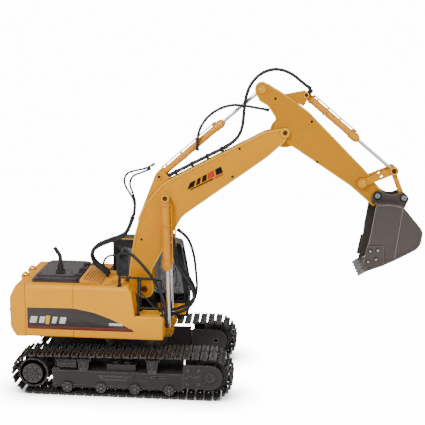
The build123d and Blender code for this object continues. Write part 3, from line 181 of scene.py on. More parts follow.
def rounded(outline, samples=7):
    """Closed side-view outline of (x, z, radius) corners.

    Each corner is a parabola arc that leaves and meets its sides at radius / tan(half angle).
    """
    data = np.array([tuple(corner) + (0.001,) * (3 - len(corner)) for corner in outline], float)
    place, radius = data[:, :2], data[:, 2:]
    back = np.roll(place, 1, 0) - place
    ahead = np.roll(place, -1, 0) - place
    back_length = np.linalg.norm(back, axis=1, keepdims=True)
    ahead_length = np.linalg.norm(ahead, axis=1, keepdims=True)
    back, ahead = back / back_length, ahead / ahead_length
    angle = np.arccos(np.clip((back * ahead).sum(1, keepdims=True), -1, 1))
    reach = np.minimum(radius / np.tan(angle / 2), 0.49 * np.minimum(back_length, ahead_length))
    t = np.linspace(0, 1, samples)[None, :, None]
    start, end = (place + back * reach)[:, None], (place + ahead * reach)[:, None]
    arc = start * (1 - t) ** 2 + place[:, None] * 2 * t * (1 - t) + end * t ** 2
    return arc.reshape(-1, 2)


def soft_plate(outline, low, high, edge=0.3):
    """Outline (x, z) carried from y = low to y = high, drawn in by the edge at both faces."""
    step = np.roll(outline, -1, 0) - np.roll(outline, 1, 0)
    inward = np.stack([-step[:, 1], step[:, 0]], -1)
    inward /= np.maximum(np.linalg.norm(inward, axis=1, keepdims=True), 1e-9)
    x, z = outline.T
    if (x * np.roll(z, -1) - np.roll(x, -1) * z).sum() < 0:
        inward = -inward
    rows = [(edge, low), (0.3 * edge, low + 0.3 * edge), (0, low + edge),
            (0, high - edge), (0.3 * edge, high - 0.3 * edge), (edge, high)]
    layers = [np.insert(outline + inward * draw, 1, level, axis=1) for draw, level in rows]
    return grid_shape(np.stack(layers))


def bar_path(points, samples=9):
    """Quadratic B-spline through the middles of the inner legs, held at both end points."""
    points = np.asarray(points, float)
    middles = (points[1:-2] + points[2:-1]) / 2
    start = np.vstack([points[:1], middles])[:, None]
    end = np.vstack([middles, points[-1:]])[:, None]
    t = np.linspace(0, 1, samples)[None, :, None]
    path = start * (1 - t) ** 2 + points[1:-1, None] * 2 * t * (1 - t) + end * t ** 2
    return np.vstack([path[:, :-1].reshape(-1, points.shape[1]), points[-1:]])


def even_path(path, step):
    """The same path with points at equal distances, close to the step."""
    reach = np.concatenate([[0], np.cumsum(np.linalg.norm(np.diff(path, axis=0), axis=1))])
    at = np.linspace(0, reach[-1], max(4, int(reach[-1] / step)))
    return np.stack([np.interp(at, reach, path[:, k]) for k in range(path.shape[1])], -1), at


def tube(path, radius, sides=14, groove=0.0, pitch=1.0, twist=0.0):
    """Ring carried along a path in an X-Z plane: path + r (N cos a + Y sin a).

    r = radius (1 + groove |sin(pi s / pitch + twist a / 2)|), s the distance along the path.
    """
    step = pitch / 4 if groove else 1.6
    path, reach = even_path(np.asarray(path, float), step)
    tangent = np.gradient(path, axis=0)
    tangent /= np.linalg.norm(tangent, axis=1, keepdims=True)
    across = np.array([0.0, 1.0, 0.0])
    normal = np.cross(tangent, across)
    angle = np.linspace(0, TAU, sides, endpoint=False)
    wave = np.abs(np.sin(math.pi * reach[:, None] / pitch + twist * angle[None] / 2))
    r = (radius * (1 + groove * wave))[..., None]
    ring = normal[:, None] * np.cos(angle)[None, :, None] + across * np.sin(angle)[None, :, None]
    return grid_shape(path[:, None] + r * ring)


def at_side(route, y):
    """Side-view points put at one y."""
    return np.insert(np.asarray(route, float), 1, y, axis=1)


# ------------------------------------------------------------ shader groups
def new_group(name, inputs, outputs):
    """Empty shader group with float inputs (name, value) and outputs (name, kind)."""
    group = bpy.data.node_groups.new(name, "ShaderNodeTree")
    for label, value in inputs:
        socket = group.interface.new_socket(label, in_out="INPUT", socket_type="NodeSocketFloat")
        socket.default_value = value
    for label, kind in outputs:
        group.interface.new_socket(label, in_out="OUTPUT", socket_type="NodeSocket" + kind)
    return group, group.nodes.new("NodeGroupInput"), group.nodes.new("NodeGroupOutput")


def node(tree, kind, **settings):
    """New shader node with its properties set by name."""
    made = tree.nodes.new("ShaderNode" + kind)
    for key, value in settings.items():
        setattr(made, key, value)
    return made


def math_node(tree, operation, first, second=None, clamp=False):
    """Math node of one or two values, each a number or a socket."""
    made = node(tree, "Math", operation=operation, use_clamp=clamp)
    for socket, value in zip(made.inputs, (first, second)):
        if value is None:
            continue
        if isinstance(value, (int, float)):
            socket.default_value = value
        else:
            tree.links.new(value, socket)
    return made.outputs[0]


def axes(group):
    """Object place split into its three axes."""
    place = node(group, "TexCoord")
    parts = node(group, "SeparateXYZ")
    group.links.new(place.outputs["Object"], parts.inputs[0])
    return parts.outputs


def edge_wear_and_highlight_group():
    """Mask of edges for the lighter edge colour, a painted highlight and on metal parts also wear:
    one minus the dot of the rounded and the true normal, broken by noise.
    """
    group, given, out = new_group(
        "edge wear and highlight", [("Width", 0.0006), ("Gain", 6.0), ("Break", 0.4), ("Scale", 300.0)],
        [("Mask", "Float")])
    bevel = node(group, "Bevel", samples=4)
    group.links.new(given.outputs["Width"], bevel.inputs["Radius"])
    flat = node(group, "NewGeometry")
    dot = node(group, "VectorMath", operation="DOT_PRODUCT")
    group.links.new(bevel.outputs["Normal"], dot.inputs[0])
    group.links.new(flat.outputs["Normal"], dot.inputs[1])
    bend = math_node(group, "SUBTRACT", 1.0, dot.outputs["Value"])
    strength = math_node(group, "MULTIPLY", bend, given.outputs["Gain"], clamp=True)
    place = node(group, "TexCoord")
    noise = node(group, "TexNoise")
    noise.inputs["Detail"].default_value = 3.0
    group.links.new(place.outputs["Object"], noise.inputs["Vector"])
    group.links.new(given.outputs["Scale"], noise.inputs["Scale"])
    rough = math_node(group, "MULTIPLY", noise.outputs["Fac"], given.outputs["Break"])
    kept = math_node(group, "SUBTRACT", 1.0, rough)
    group.links.new(math_node(group, "MULTIPLY", strength, kept, clamp=True), out.inputs["Mask"])
    return group


def grain_group():
    """Fine moulded grain: noise at the given scale and a broader one, each around one half."""
    group, given, out = new_group("moulded grain", [("Scale", 900.0), ("Broad", 14.0)],
                                  [("Fine", "Float"), ("Broad", "Float")])
    place = node(group, "TexCoord")
    fine = node(group, "TexNoise")
    broad = node(group, "TexNoise")
    for texture, label, detail in ((fine, "Scale", 2.0), (broad, "Broad", 4.0)):
        texture.inputs["Detail"].default_value = detail
        group.links.new(place.outputs["Object"], texture.inputs["Vector"])
        group.links.new(given.outputs[label], texture.inputs["Scale"])
    group.links.new(fine.outputs["Fac"], out.inputs["Fine"])
    group.links.new(broad.outputs["Fac"], out.inputs["Broad"])
    return group


def crevice_shade_group():
    """Painted shade mask of corners and gaps, from how much of the near surroundings is closed in.
    """
    group, given, out = new_group("crevice shade", [("Reach", 0.004), ("Gain", 1.6)],
                                  [("Mask", "Float")])
    closed = node(group, "AmbientOcclusion", samples=6)
    group.links.new(given.outputs["Reach"], closed.inputs["Distance"])
    shut = math_node(group, "SUBTRACT", 1.0, closed.outputs["AO"])
    group.links.new(math_node(group, "MULTIPLY", shut, given.outputs["Gain"], clamp=True),
                    out.inputs["Mask"])
    return group


def seam_group():
    """Mask of two upright panel gaps, where X is within half a gap of either place."""
    group, given, out = new_group("panel gaps", [("First X", 0.0), ("Second X", 0.0),
                                                 ("Half Gap", 0.0003)], [("Mask", "Float")])
    parts = axes(group)
    gaps = []
    for label in ("First X", "Second X"):
        away = math_node(group, "SUBTRACT", parts["X"], given.outputs[label])
        far = math_node(group, "ABSOLUTE", away)
        gaps.append(math_node(group, "LESS_THAN", far, given.outputs["Half Gap"]))
    group.links.new(math_node(group, "MAXIMUM", gaps[0], gaps[1]), out.inputs["Mask"])
    return group


def lattice_group():
    """Woven grille: the higher of two diagonal sine waves, over X and over Y plus Z."""
    group, given, out = new_group("grille lattice", [("Pitch", 0.0016)], [("Height", "Float")])
    parts = axes(group)
    turn = math_node(group, "DIVIDE", TAU, given.outputs["Pitch"])
    level = math_node(group, "ADD", parts["Z"], parts["Y"])
    waves = []
    for operation in ("ADD", "SUBTRACT"):
        line = math_node(group, operation, parts["X"], level)
        waves.append(math_node(group, "SINE", math_node(group, "MULTIPLY", line, turn)))
    group.links.new(math_node(group, "MAXIMUM", waves[0], waves[1], clamp=True),
                    out.inputs["Height"])
    return group


def border_highlight_group():
    """Painted highlight mask of a raised border: 1 where the distance from the middle plane is over
    the level.
    """
    group, given, out = new_group("raised border highlight", [("Level", 0.0128)], [("Mask", "Float")])
    parts = axes(group)
    away = math_node(group, "ABSOLUTE", parts["Y"])
    group.links.new(math_node(group, "GREATER_THAN", away, given.outputs["Level"]),
                    out.inputs["Mask"])
    return group


def rib_gap_shade_group():
    """Painted shade mask of the gaps between ribs: 1.5 cos(2 pi x / pitch) from a gap's middle, kept
    in 0 to 1.
    """
    group, given, out = new_group("rib gap shade", [("Pitch", 0.0031), ("Gap Middle", -0.0574)],
                                  [("Mask", "Float")])
    parts = axes(group)
    away = math_node(group, "SUBTRACT", parts["X"], given.outputs["Gap Middle"])
    turns = math_node(group, "MULTIPLY", math_node(group, "DIVIDE", away, given.outputs["Pitch"]),
                      TAU)
    wave = math_node(group, "COSINE", turns)
    group.links.new(math_node(group, "MULTIPLY", wave, 1.5, clamp=True), out.inputs["Mask"])
    return group


EDGE_WEAR_AND_HIGHLIGHT = edge_wear_and_highlight_group()
GRAIN = grain_group()
CREVICE_SHADE = crevice_shade_group()
SEAM = seam_group()
LATTICE = lattice_group()
BORDER_HIGHLIGHT = border_highlight_group()
RIB_GAP_SHADE = rib_gap_shade_group()


# ------------------------------------------------------------ materials
RICHNESS = 1.28


def srgb(red, green, blue):
    """Screen colour, 0 to 255, as linear light.

    Each channel's share of the strongest one is raised to a power, which deepens the hue.
    """
    share = np.array([red, green, blue]) / 255
    linear = np.where(share <= 0.04045, share / 12.92, ((share + 0.055) / 1.055) ** 2.4)
    strongest = float(linear.max())
    rich = strongest * (linear / strongest) ** RICHNESS
    return (*[float(value) for value in rich], 1.0)


def placed_group(tree, group, **values):
    """Shared shader group in a material, with its inputs set by name."""
    made = tree.nodes.new("ShaderNodeGroup")
    made.node_tree = group
    for label, value in values.items():
        made.inputs[label.replace("_", " ")].default_value = value
    return made


def blend_colour(tree, factor, first, second):
    """Mix node from the first colour to the second; a colour may be a socket."""
    mix = tree.nodes.new("ShaderNodeMix")
    mix.data_type = "RGBA"
    tree.links.new(factor, mix.inputs["Factor"])
    for socket, value in ((mix.inputs[6], first), (mix.inputs[7], second)):
        if isinstance(value, tuple):
            socket.default_value = value
        else:
            tree.links.new(value, socket)
    return mix.outputs[2]


def spread(tree, value, low, high):
    """Value from 0 to 1 mapped onto low to high."""
    made = node(tree, "MapRange")
    tree.links.new(value, made.inputs["Value"])
    made.inputs["To Min"].default_value = low
    made.inputs["To Max"].default_value = high
    return made.outputs["Result"]


def finish_material(name, base, deep, edge, rough, metallic=0.0, coat=0.0, edge_width=0.0006,
                    edge_gain=6.0, edge_metallic=None, grain_scale=900.0, bump=0.00003,
                    crevice_shade_reach=0.004, crevice_shade=0.6, speckle=0.0, alpha=None, seam=None,
                    lattice=None, coat_rough=0.12, border_highlight=None, gloss=0.3, ribs=None):
    """Surface with broad colour drift, painted shade in crevices, lightened edges and a fine grain.

    base to deep follows the broad grain, the crevice mask darkens with painted shade, the edge mask
    goes to edge: a painted highlight, and on metal parts wear as well.
    """
    material = bpy.data.materials.new(name)
    material.use_nodes = True
    tree = material.node_tree
    shader = tree.nodes["Principled BSDF"]
    grain = placed_group(tree, GRAIN, Scale=grain_scale)
    wear_and_highlight = placed_group(tree, EDGE_WEAR_AND_HIGHLIGHT, Width=edge_width, Gain=edge_gain)
    # Crevice mask from ambient occlusion: painted shade where corners and gaps close in.
    shade = placed_group(tree, CREVICE_SHADE, Reach=crevice_shade_reach)
    drift = spread(tree, grain.outputs["Broad"], -0.3, 1.3)
    colour = blend_colour(tree, math_node(tree, "MULTIPLY", drift, 1.0, clamp=True), base, deep)
    if speckle:
        fleck = spread(tree, grain.outputs["Fine"], -speckle, speckle)
        colour = blend_colour(tree, math_node(tree, "ABSOLUTE", fleck), colour, edge)
    # The raised border is lightened towards the edge colour: painted highlight.
    if border_highlight:
        raised = placed_group(tree, BORDER_HIGHLIGHT, Level=border_highlight)
        colour = blend_colour(tree, math_node(tree, "MULTIPLY", raised.outputs["Mask"], 0.35),
                              colour, edge)
    # Dark colour for the painted crevice and rib shade, the panel gaps and the grille holes.
    dark = tuple(channel * 0.25 for channel in deep[:3]) + (1.0,)
    colour = blend_colour(tree, math_node(tree, "MULTIPLY", shade.outputs["Mask"], crevice_shade),
                          colour, dark)
    # Edges go to the edge colour: painted highlight, and wear as well on metal parts.
    colour = blend_colour(tree, wear_and_highlight.outputs["Mask"], colour, edge)
    height = math_node(tree, "MULTIPLY", grain.outputs["Fine"], bump)
    if seam:
        gap = placed_group(tree, SEAM, First_X=seam[0], Second_X=seam[1])
        colour = blend_colour(tree, gap.outputs["Mask"], colour, dark)
        cut = math_node(tree, "MULTIPLY", gap.outputs["Mask"], -0.0004)
        height = math_node(tree, "ADD", height, cut)
    # Gaps between the ribs darkened: painted shade.
    if ribs:
        gaps = placed_group(tree, RIB_GAP_SHADE, Pitch=ribs[0], Gap_Middle=ribs[1])
        colour = blend_colour(tree, math_node(tree, "MULTIPLY", gaps.outputs["Mask"], 0.55),
                              colour, dark)
    if lattice:
        weave = placed_group(tree, LATTICE, Pitch=lattice)
        holes = math_node(tree, "SUBTRACT", 1.0, weave.outputs["Height"])
        colour = blend_colour(tree, holes, colour, dark)
        height = math_node(tree, "ADD", height,
                           math_node(tree, "MULTIPLY", weave.outputs["Height"], 0.0004))
    relief = node(tree, "Bump")
    relief.inputs["Distance"].default_value = 1.0
    tree.links.new(height, relief.inputs["Height"])
    tree.links.new(relief.outputs["Normal"], shader.inputs["Normal"])
    tree.links.new(colour, shader.inputs["Base Color"])
    tree.links.new(spread(tree, grain.outputs["Broad"], rough - 0.08, rough + 0.08),
                   shader.inputs["Roughness"])
    if edge_metallic is None:
        shader.inputs["Metallic"].default_value = metallic
    else:
        tree.links.new(spread(tree, wear_and_highlight.outputs["Mask"], metallic, edge_metallic),
                       shader.inputs["Metallic"])
    shader.inputs["Specular IOR Level"].default_value = gloss
    shader.inputs["Coat Weight"].default_value = coat
    shader.inputs["Coat Roughness"].default_value = coat_rough
    if alpha is not None:
        shader.inputs["Alpha"].default_value = alpha
    return material


house_yellow = finish_material(
    "house yellow", srgb(255, 190, 8), srgb(248, 178, 6), srgb(255, 222, 104), 0.42, coat=0.04,
    gloss=0.2, edge_width=0.0009, edge_gain=3.0, seam=(-0.1305, -0.0667), grain_scale=1400.0)
arm_yellow = finish_material(
    "arm yellow", srgb(232, 170, 8), srgb(216, 154, 6), srgb(255, 214, 96), 0.42, coat=0.03,
    gloss=0.2, edge_width=0.0008, edge_gain=3.2, crevice_shade=0.75, grain_scale=1200.0)
# Ramp: gaps between its ribs darkened with painted shade.
ramp_yellow = finish_material(
    "ramp yellow", srgb(250, 184, 22), srgb(240, 170, 16), srgb(255, 220, 110), 0.4, coat=0.12,
    edge_width=0.0005, edge_gain=3.0, ribs=(0.0031, -0.05715))
# Boom and stick: raised border lightened with a painted highlight.
boom_yellow = finish_material(
    "boom yellow", srgb(232, 170, 8), srgb(216, 154, 6), srgb(255, 218, 100), 0.42, coat=0.03,
    gloss=0.2, edge_width=0.001, edge_gain=4.2, crevice_shade=0.9, crevice_shade_reach=0.0016,
    grain_scale=1200.0, border_highlight=0.0128)
stick_yellow = finish_material(
    "stick yellow", srgb(208, 150, 6), srgb(192, 137, 5), srgb(255, 214, 96), 0.42, coat=0.03,
    gloss=0.2, edge_width=0.001, edge_gain=4.2, crevice_shade=0.9, crevice_shade_reach=0.0016,
    grain_scale=1200.0, border_highlight=0.0101)
cylinder_yellow = finish_material(
    "cylinder yellow", srgb(238, 174, 24), srgb(220, 152, 16), srgb(250, 196, 66), 0.32,
    coat=0.3, edge_width=0.0003, edge_gain=2.0)
# Lighter copy of the yellow for raised rings and caps: painted highlight.
rim_highlight_yellow = finish_material(
    "rim highlight yellow", srgb(248, 192, 50), srgb(238, 178, 36), srgb(255, 226, 130), 0.3, coat=0.5,
    edge_width=0.0004, edge_gain=3.0)
hood_grey = finish_material(
    "hood grey", srgb(72, 67, 66), srgb(56, 52, 51), srgb(170, 166, 164), 0.36, coat=0.25,
    edge_width=0.0007, edge_gain=3.0, grain_scale=1600.0, bump=0.00005)
grille_grey = finish_material(
    "grille grey", srgb(104, 106, 110), srgb(84, 86, 90), srgb(150, 154, 158), 0.5, lattice=0.0022)
frame_grey = finish_material(
    "frame grey", srgb(60, 58, 57), srgb(46, 44, 43), srgb(172, 169, 165), 0.46, metallic=0.2,
    edge_width=0.0006, edge_gain=3.4, edge_metallic=0.5, speckle=0.12, bump=0.00006)
track_iron = finish_material(
    "track iron", srgb(54, 52, 50), srgb(40, 38, 36), srgb(196, 193, 188), 0.42, metallic=0.55,
    edge_width=0.0006, edge_gain=3.6, edge_metallic=0.9, speckle=0.18, bump=0.00009,
    crevice_shade=0.8)
bucket_brown = finish_material(
    "bucket brown", srgb(92, 85, 82), srgb(78, 72, 70), srgb(188, 182, 178), 0.4, metallic=0.35,
    edge_width=0.0007, edge_gain=3.6, edge_metallic=0.7, speckle=0.08, bump=0.00007,
    crevice_shade=0.55)
# Light grey for the bucket's side beads: edge wear and a painted rim highlight.
bead_wear_and_highlight_grey = finish_material(
    "bead wear and highlight grey", srgb(176, 170, 166), srgb(150, 144, 140), srgb(214, 210, 206), 0.36,
    metallic=0.5, edge_width=0.0003, edge_gain=3.0)
tooth_steel = finish_material(
    "tooth steel", srgb(168, 166, 164), srgb(124, 121, 119), srgb(226, 224, 220), 0.3,
    metallic=0.85, edge_width=0.0004, edge_gain=4.0, crevice_shade=0.8)
bright_steel = finish_material(
    "bright steel", srgb(206, 206, 206), srgb(176, 176, 177), srgb(240, 240, 240), 0.22,
    metallic=1.0, edge_width=0.0003, edge_gain=3.0, crevice_shade=0.7)
rod_chrome = finish_material(
    "rod chrome", srgb(232, 230, 228), srgb(220, 218, 214), srgb(250, 250, 250), 0.14,
    metallic=1.0, edge_width=0.0003, edge_gain=2.0, bump=0.000008, crevice_shade=0.3)
pin_brown = finish_material(
    "pin brown", srgb(112, 58, 30), srgb(88, 42, 22), srgb(176, 118, 78), 0.36, metallic=0.3,
    edge_width=0.0003, edge_gain=3.0)
satin_black = finish_material(
    "satin black", srgb(34, 34, 35), srgb(26, 26, 27), srgb(104, 105, 108), 0.38, coat=0.15,
    edge_width=0.0005, edge_gain=2.6, grain_scale=1500.0)
hose_black = finish_material(
    "hose black", srgb(50, 51, 53), srgb(36, 37, 39), srgb(132, 134, 138), 0.42,
    edge_width=0.0003, edge_gain=2.0, crevice_shade_reach=0.0012, crevice_shade=0.8)
screw_black = finish_material(
    "screw black", srgb(30, 28, 26), srgb(22, 20, 19), srgb(96, 92, 86), 0.4, metallic=0.5,
    edge_width=0.0003, edge_gain=2.0)
decal_grey = finish_material(
    "decal grey", srgb(66, 62, 60), srgb(58, 54, 53), srgb(92, 88, 86), 0.4, coat=0.2,
    edge_gain=0.5)
decal_maroon = finish_material(
    "decal maroon", srgb(112, 54, 46), srgb(98, 44, 38), srgb(140, 84, 76), 0.4, coat=0.2,
    edge_gain=0.5)
decal_white = finish_material(
    "decal white", srgb(226, 224, 220), srgb(212, 210, 206), srgb(240, 240, 240), 0.4,
    edge_gain=0.5)
decal_orange = finish_material(
    "decal orange", srgb(206, 74, 28), srgb(190, 62, 22), srgb(230, 120, 70), 0.4, edge_gain=0.5)
board_green = finish_material(
    "board green", srgb(24, 92, 52), srgb(18, 74, 42), srgb(120, 170, 120), 0.4, speckle=0.3)
cell_blue = finish_material(
    "cell blue", srgb(36, 74, 150), srgb(28, 60, 128), srgb(120, 150, 210), 0.3, coat=0.4)
lens_red = finish_material(
    "lens red", srgb(170, 24, 20), srgb(140, 16, 14), srgb(230, 110, 100), 0.2, coat=0.8)
dark_glass = finish_material(
    "dark glass", srgb(22, 24, 26), srgb(16, 18, 20), srgb(70, 76, 80), 0.1, coat=0.5,
    edge_gain=0.6, bump=0.000004, crevice_shade=0.1, alpha=0.72, coat_rough=0.04)

# ------------------------------------------------------------ finish of every CAD node
NODE_FINISH = {
    house_yellow: ("house_shell", "counterweight", "right_step_box"),
    ramp_yellow: ("louver_panel",),
    boom_yellow: ("boom_left_shell", "boom_right_shell"),
    stick_yellow: ("stick_left_shell", "stick_right_shell"),
    arm_yellow: ("rocker_levers", "bucket_link", "cylinder_brackets"),
    cylinder_yellow: ("boom_cylinder_barrels", "stick_cylinder_barrel", "bucket_cylinder_barrel"),
    hood_grey: ("engine_hood",),
    frame_grey: ("left_track_frame", "right_track_frame", "track_supports", "idler_yokes",
                 "drive_motors", "lower_frame", "left_sprocket", "right_sprocket", "left_idler",
                 "right_idler", "slew_ring", *[f"{side}_roller_{k}" for side in ("left", "right")
                                               for k in (1, 2, 3, 4)]),
    track_iron: ("left_track_chain", "right_track_chain"),
    bucket_brown: ("bucket_shell",),
    tooth_steel: ("bucket_teeth",),
    rod_chrome: ("boom_cylinder_rods", "stick_cylinder_rod", "bucket_cylinder_rod"),
    bright_steel: ("bucket_pins",),
    pin_brown: ("boom_pins",),
    satin_black: ("house_floor", "cab_shell", "cab_interior", "handrails", "side_mirror",
                  "boom_bracket", "slew_motor", "power_switch", "boom_gearbox", "exhaust"),
    hose_black: ("house_hoses", "lift_hoses", "boom_hoses", "arch_hoses"),
    dark_glass: ("cab_glazing",),
    board_green: ("control_board",),
    cell_blue: ("battery_pack",),
}
for material, names in NODE_FINISH.items():
    for name in names:
        slots = frame["nodes"][name].data.materials
        slots.clear()
        slots.append(material)


def build(name, shape, material, body, stands_for=(), sharp=38.0):
    """Mesh object from a shape, smooth but for edges sharper than the angle, riding a body."""
    points, loops, sizes = shape
    mesh = bpy.data.meshes.new(name)
    mesh.vertices.add(len(points))
    mesh.vertices.foreach_set("co", (points * MM).astype(np.float32).ravel())
    mesh.loops.add(len(loops))
    mesh.loops.foreach_set("vertex_index", loops.astype(np.int32))
    mesh.polygons.add(len(sizes))
    mesh.polygons.foreach_set("loop_start", (np.cumsum(sizes) - sizes).astype(np.int32))
    mesh.update(calc_edges=True)
    mesh.validate()
    mesh.polygons.foreach_set("use_smooth", np.ones(len(mesh.polygons), bool))
    mesh.set_sharp_from_angle(angle=math.radians(sharp))
    mesh.materials.append(material)
    piece = bpy.data.objects.new(name, mesh)
    bpy.context.scene.collection.objects.link(piece)
    if stands_for:
        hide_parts(*stands_for)
    if body:
        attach(piece, body)
    return piece


# ------------------------------------------------------------ bolts, screws and caps
def hex_bolt(across, height, washer=1.5):
    """Six-sided head on a round washer, its top corners turned off."""
    r = across / 2 / math.cos(math.pi / 6)
    profile = [(r * washer * 0.98, 0), (r * washer, 0.12 * height), (r * washer, 0.3 * height),
               (r * 0.99, 0.31 * height), (r, 0.36 * height), (r, 0.86 * height),
               (r * 0.9, height), (r * 0.3, height)]
    return turned(profile, sides=24, flats=6, flat_rows=(3, 4, 5))


def socket_bolt(radius, height):
    """Round cap head with a six-sided socket."""
    profile = [(radius, 0), (radius, 0.8 * height), (0.92 * radius, height),
               (0.55 * radius, height), (0.52 * radius, 0.35 * height),
               (0.1 * radius, 0.3 * height)]
    return turned(profile, sides=36, flats=6, flat_rows=(3, 4))


def cross_screw(radius, dome):
    """Domed head with a cross sunk in it.

    Height = dome (1 - (r / radius)^2), less 0.6 of the dome where |x| or |z| is under a
    sixth of the radius and r is under 0.66 of it.
    """
    r = np.linspace(0.03, 1.0, 16)[:, None] * radius
    angle = np.linspace(0, TAU, 48, endpoint=False)[None]
    x, z = r * np.cos(angle), r * np.sin(angle)
    slot = (np.minimum(np.abs(x), np.abs(z)) < radius / 6) & (r < radius * 0.66)
    height = dome * (1 - (r / radius) ** 2) - np.where(slot, 0.6 * dome, 0.0)
    top = np.stack([x, height + 0 * x, z], -1)
    skirt = top[-1:] - np.array([0, 0.6 * dome, 0])
    return grid_shape(np.concatenate([top, skirt]))


def ring_cap(outer, inner, height, floor):
    """Raised ring round a sunk centre."""
    mid = (outer + inner) / 2
    profile = [(outer, 0), (outer, 0.7 * height), (outer - 0.25 * (outer - mid), height),
               (inner + 0.25 * (mid - inner), height), (inner, 0.8 * height), (inner, floor),
               (0.1 * inner, floor)]
    return turned(profile, sides=56)


def washer(outer, inner, height):
    """Open ring: a rectangle of (radius, height) with a turned-off edge, spun about +Y."""
    loop = [(outer, -0.2), (outer, 0.6 * height), (outer - 0.4 * height, height),
            (inner + 0.3 * height, height), (inner, 0.6 * height), (inner, -0.2), (outer, -0.2)]
    radius, level = np.array(loop).T
    angle = np.linspace(0, TAU, 40, endpoint=False)
    radius, level = radius[:, None], level[:, None] + 0 * angle
    grid = np.stack([radius * np.cos(angle), level, radius * np.sin(angle)], -1)
    return grid_shape(grid, capped=False)


def lobed_cap(radius, height, lobes=3):
    """Moulded bolt mark: ring with a star of radius (0.46 + 0.2 cos(lobes a)) times the ring's."""
    ring = ring_cap(radius, radius * 0.78, height, 0.35 * height)
    angle = np.linspace(0, TAU, 60, endpoint=False)
    star = radius * (0.46 + 0.2 * np.cos(lobes * angle))
    rows = [(1.0, 0.3 * height), (1.0, 0.8 * height), (0.86, height), (0.1, height)]
    grid = [np.stack([star * k * np.cos(angle), 0 * angle + h, star * k * np.sin(angle)], -1)
            for k, h in rows]
    return join(ring, grid_shape(np.stack(grid)))


def right_face(shape, place, y):
    """Shape put on the machine's right side, facing outward, at the place's x and z."""
    return moved(shape, FACE_RIGHT, (place[0], y, place[2]))


def on_sides(shape, places, y):
    """The shape facing outward at every (x, z), on both sides at distance y."""
    spots = [(x, -y, z) for x, z in places]
    return both(copies(moved(shape, FACE_RIGHT), spots))


# ------------------------------------------------------------ hoses
LIFT_ROUTE = [(-28.4, 142.4), (-35, 148), (-46, 155), (-53, 167), (-47, 179.5), (-27, 188.5),
              (-8, 195), (0.4, 207), (4.6, 222)]
LIFT_Y = (-13.4, -8.2, -3.0, 2.2)
UPPER_ROUTES = [
    [(4.9, 224), (7.0, 236), (5.2, 249), (-3.0, 260), (-8.0, 272), (-3.0, 283), (10, 286.5),
     (24, 289.5), (34, 296)],
    [(5.2, 224), (8.2, 240), (3.6, 255), (-1.4, 268), (4.0, 279), (16, 282.4), (28, 288.5)],
]
UPPER_Y = (-8.6, -3.2)
BOOM_TOP_ROUTE = [(52.5, 279.6), (92, 300.8), (124, 317.4)]
ARCH_ROUTE = [(124.6, 317.8), (138.4, 326), (147.6, 341), (149.6, 360), (150.6, 380),
              (156.4, 400), (170, 415.5), (189, 421.8), (208, 417), (222, 406), (235, 396.4)]
THROAT_ROUTE = [(182.5, 368.6), (168, 371.2), (152, 373.6), (136, 375.0), (119, 370.4),
                (104, 360), (94, 346.5), (89.4, 330), (90.4, 314)]
FRONT_ROUTE = [(55.6, 193), (59, 180), (62.4, 163), (72, 146), (82.6, 131.6), (88.6, 116),
               (84.0, 101.6), (71, 93.6), (58, 88.6), (45.0, 87)]
FRONT_OUTER_ROUTE = [(63, 206), (74.5, 199), (82.6, 185), (87.6, 165), (89.6, 144),
                     (91.6, 124), (88.4, 107), (78, 94), (62, 86), (45.0, 83)]
LOOP_ROUTE = [(-6.0, 167.6), (-14, 171.5), (-24, 172.6), (-32.6, 167), (-34.6, 157),
              (-31, 149.4), (-28.4, 142.2)]
GUARD_ROUTE = [(-2.4, 186.9), (8, 181.4), (20, 169.4), (31, 156.4), (41, 141.6), (49, 124),
               (53.6, 103.6), (55.2, 82)]
ARCH_Y = (-5.6, 5.6)
THROAT_Y = -8.8
THROAT_R = 1.9
LOOP_Y = -19.5
GUARD_Y = -44.0
FRONT_Y = (-9.4, 9.4)
FRONT_OUTER_Y = (-3.4, 3.4)
THICK_HOSE_R = 2.1
HOSE_R = 1.5


def ribbed_hose(route, y, radius):
    """Corrugated hose: ribs of an eighth of the radius, one every 1.3 mm."""
    return tube(bar_path(at_side(route, y)), radius * 0.9, groove=0.14, pitch=1.3)


def spiral_hose(route, y, radius):
    """Hose in a spiral guard that climbs one pitch a turn."""
    return tube(bar_path(at_side(route, y)), radius * 0.88, groove=0.2, pitch=2.4, twist=2.0)


def crimp(radius):
    """Crimped ferrule with two grooves and a six-sided nut at its foot."""
    r = radius
    profile = [(r * 0.9, 0), (r * 1.3, 0.1), (r * 1.3, 1.5), (r * 1.12, 1.7), (r * 1.14, 2.4),
               (r * 1.2, 2.5), (r * 1.2, 3.3), (r * 1.1, 3.5), (r * 1.1, 3.9), (r * 1.2, 4.1),
               (r * 1.2, 5.0), (r * 1.04, 5.3), (r * 0.9, 5.3)]
    return turned(profile, sides=24, flats=6, flat_rows=(1, 2))


def fitting(points, radius):
    """Crimp at the first of the points, along the hose that leaves it."""
    return moved(crimp(radius), aim(points[1] - points[0]), points[0])


def hose_set(routes, kind):
    """Hoses of one kind as one shape, with the fittings at their first and at their last ends."""
    strands = [kind(route, y, radius) for route, y, radius in routes]
    placed = [(at_side(route, y), radius) for route, y, radius in routes]
    first = [fitting(points, radius) for points, radius in placed]
    last = [fitting(points[::-1], radius) for points, radius in placed]
    return join(*strands), join(*first), join(*last)


def shifted(route, amount):
    """Route moved back and up by the same amount."""
    return [(x - amount, z + amount) for x, z in route]


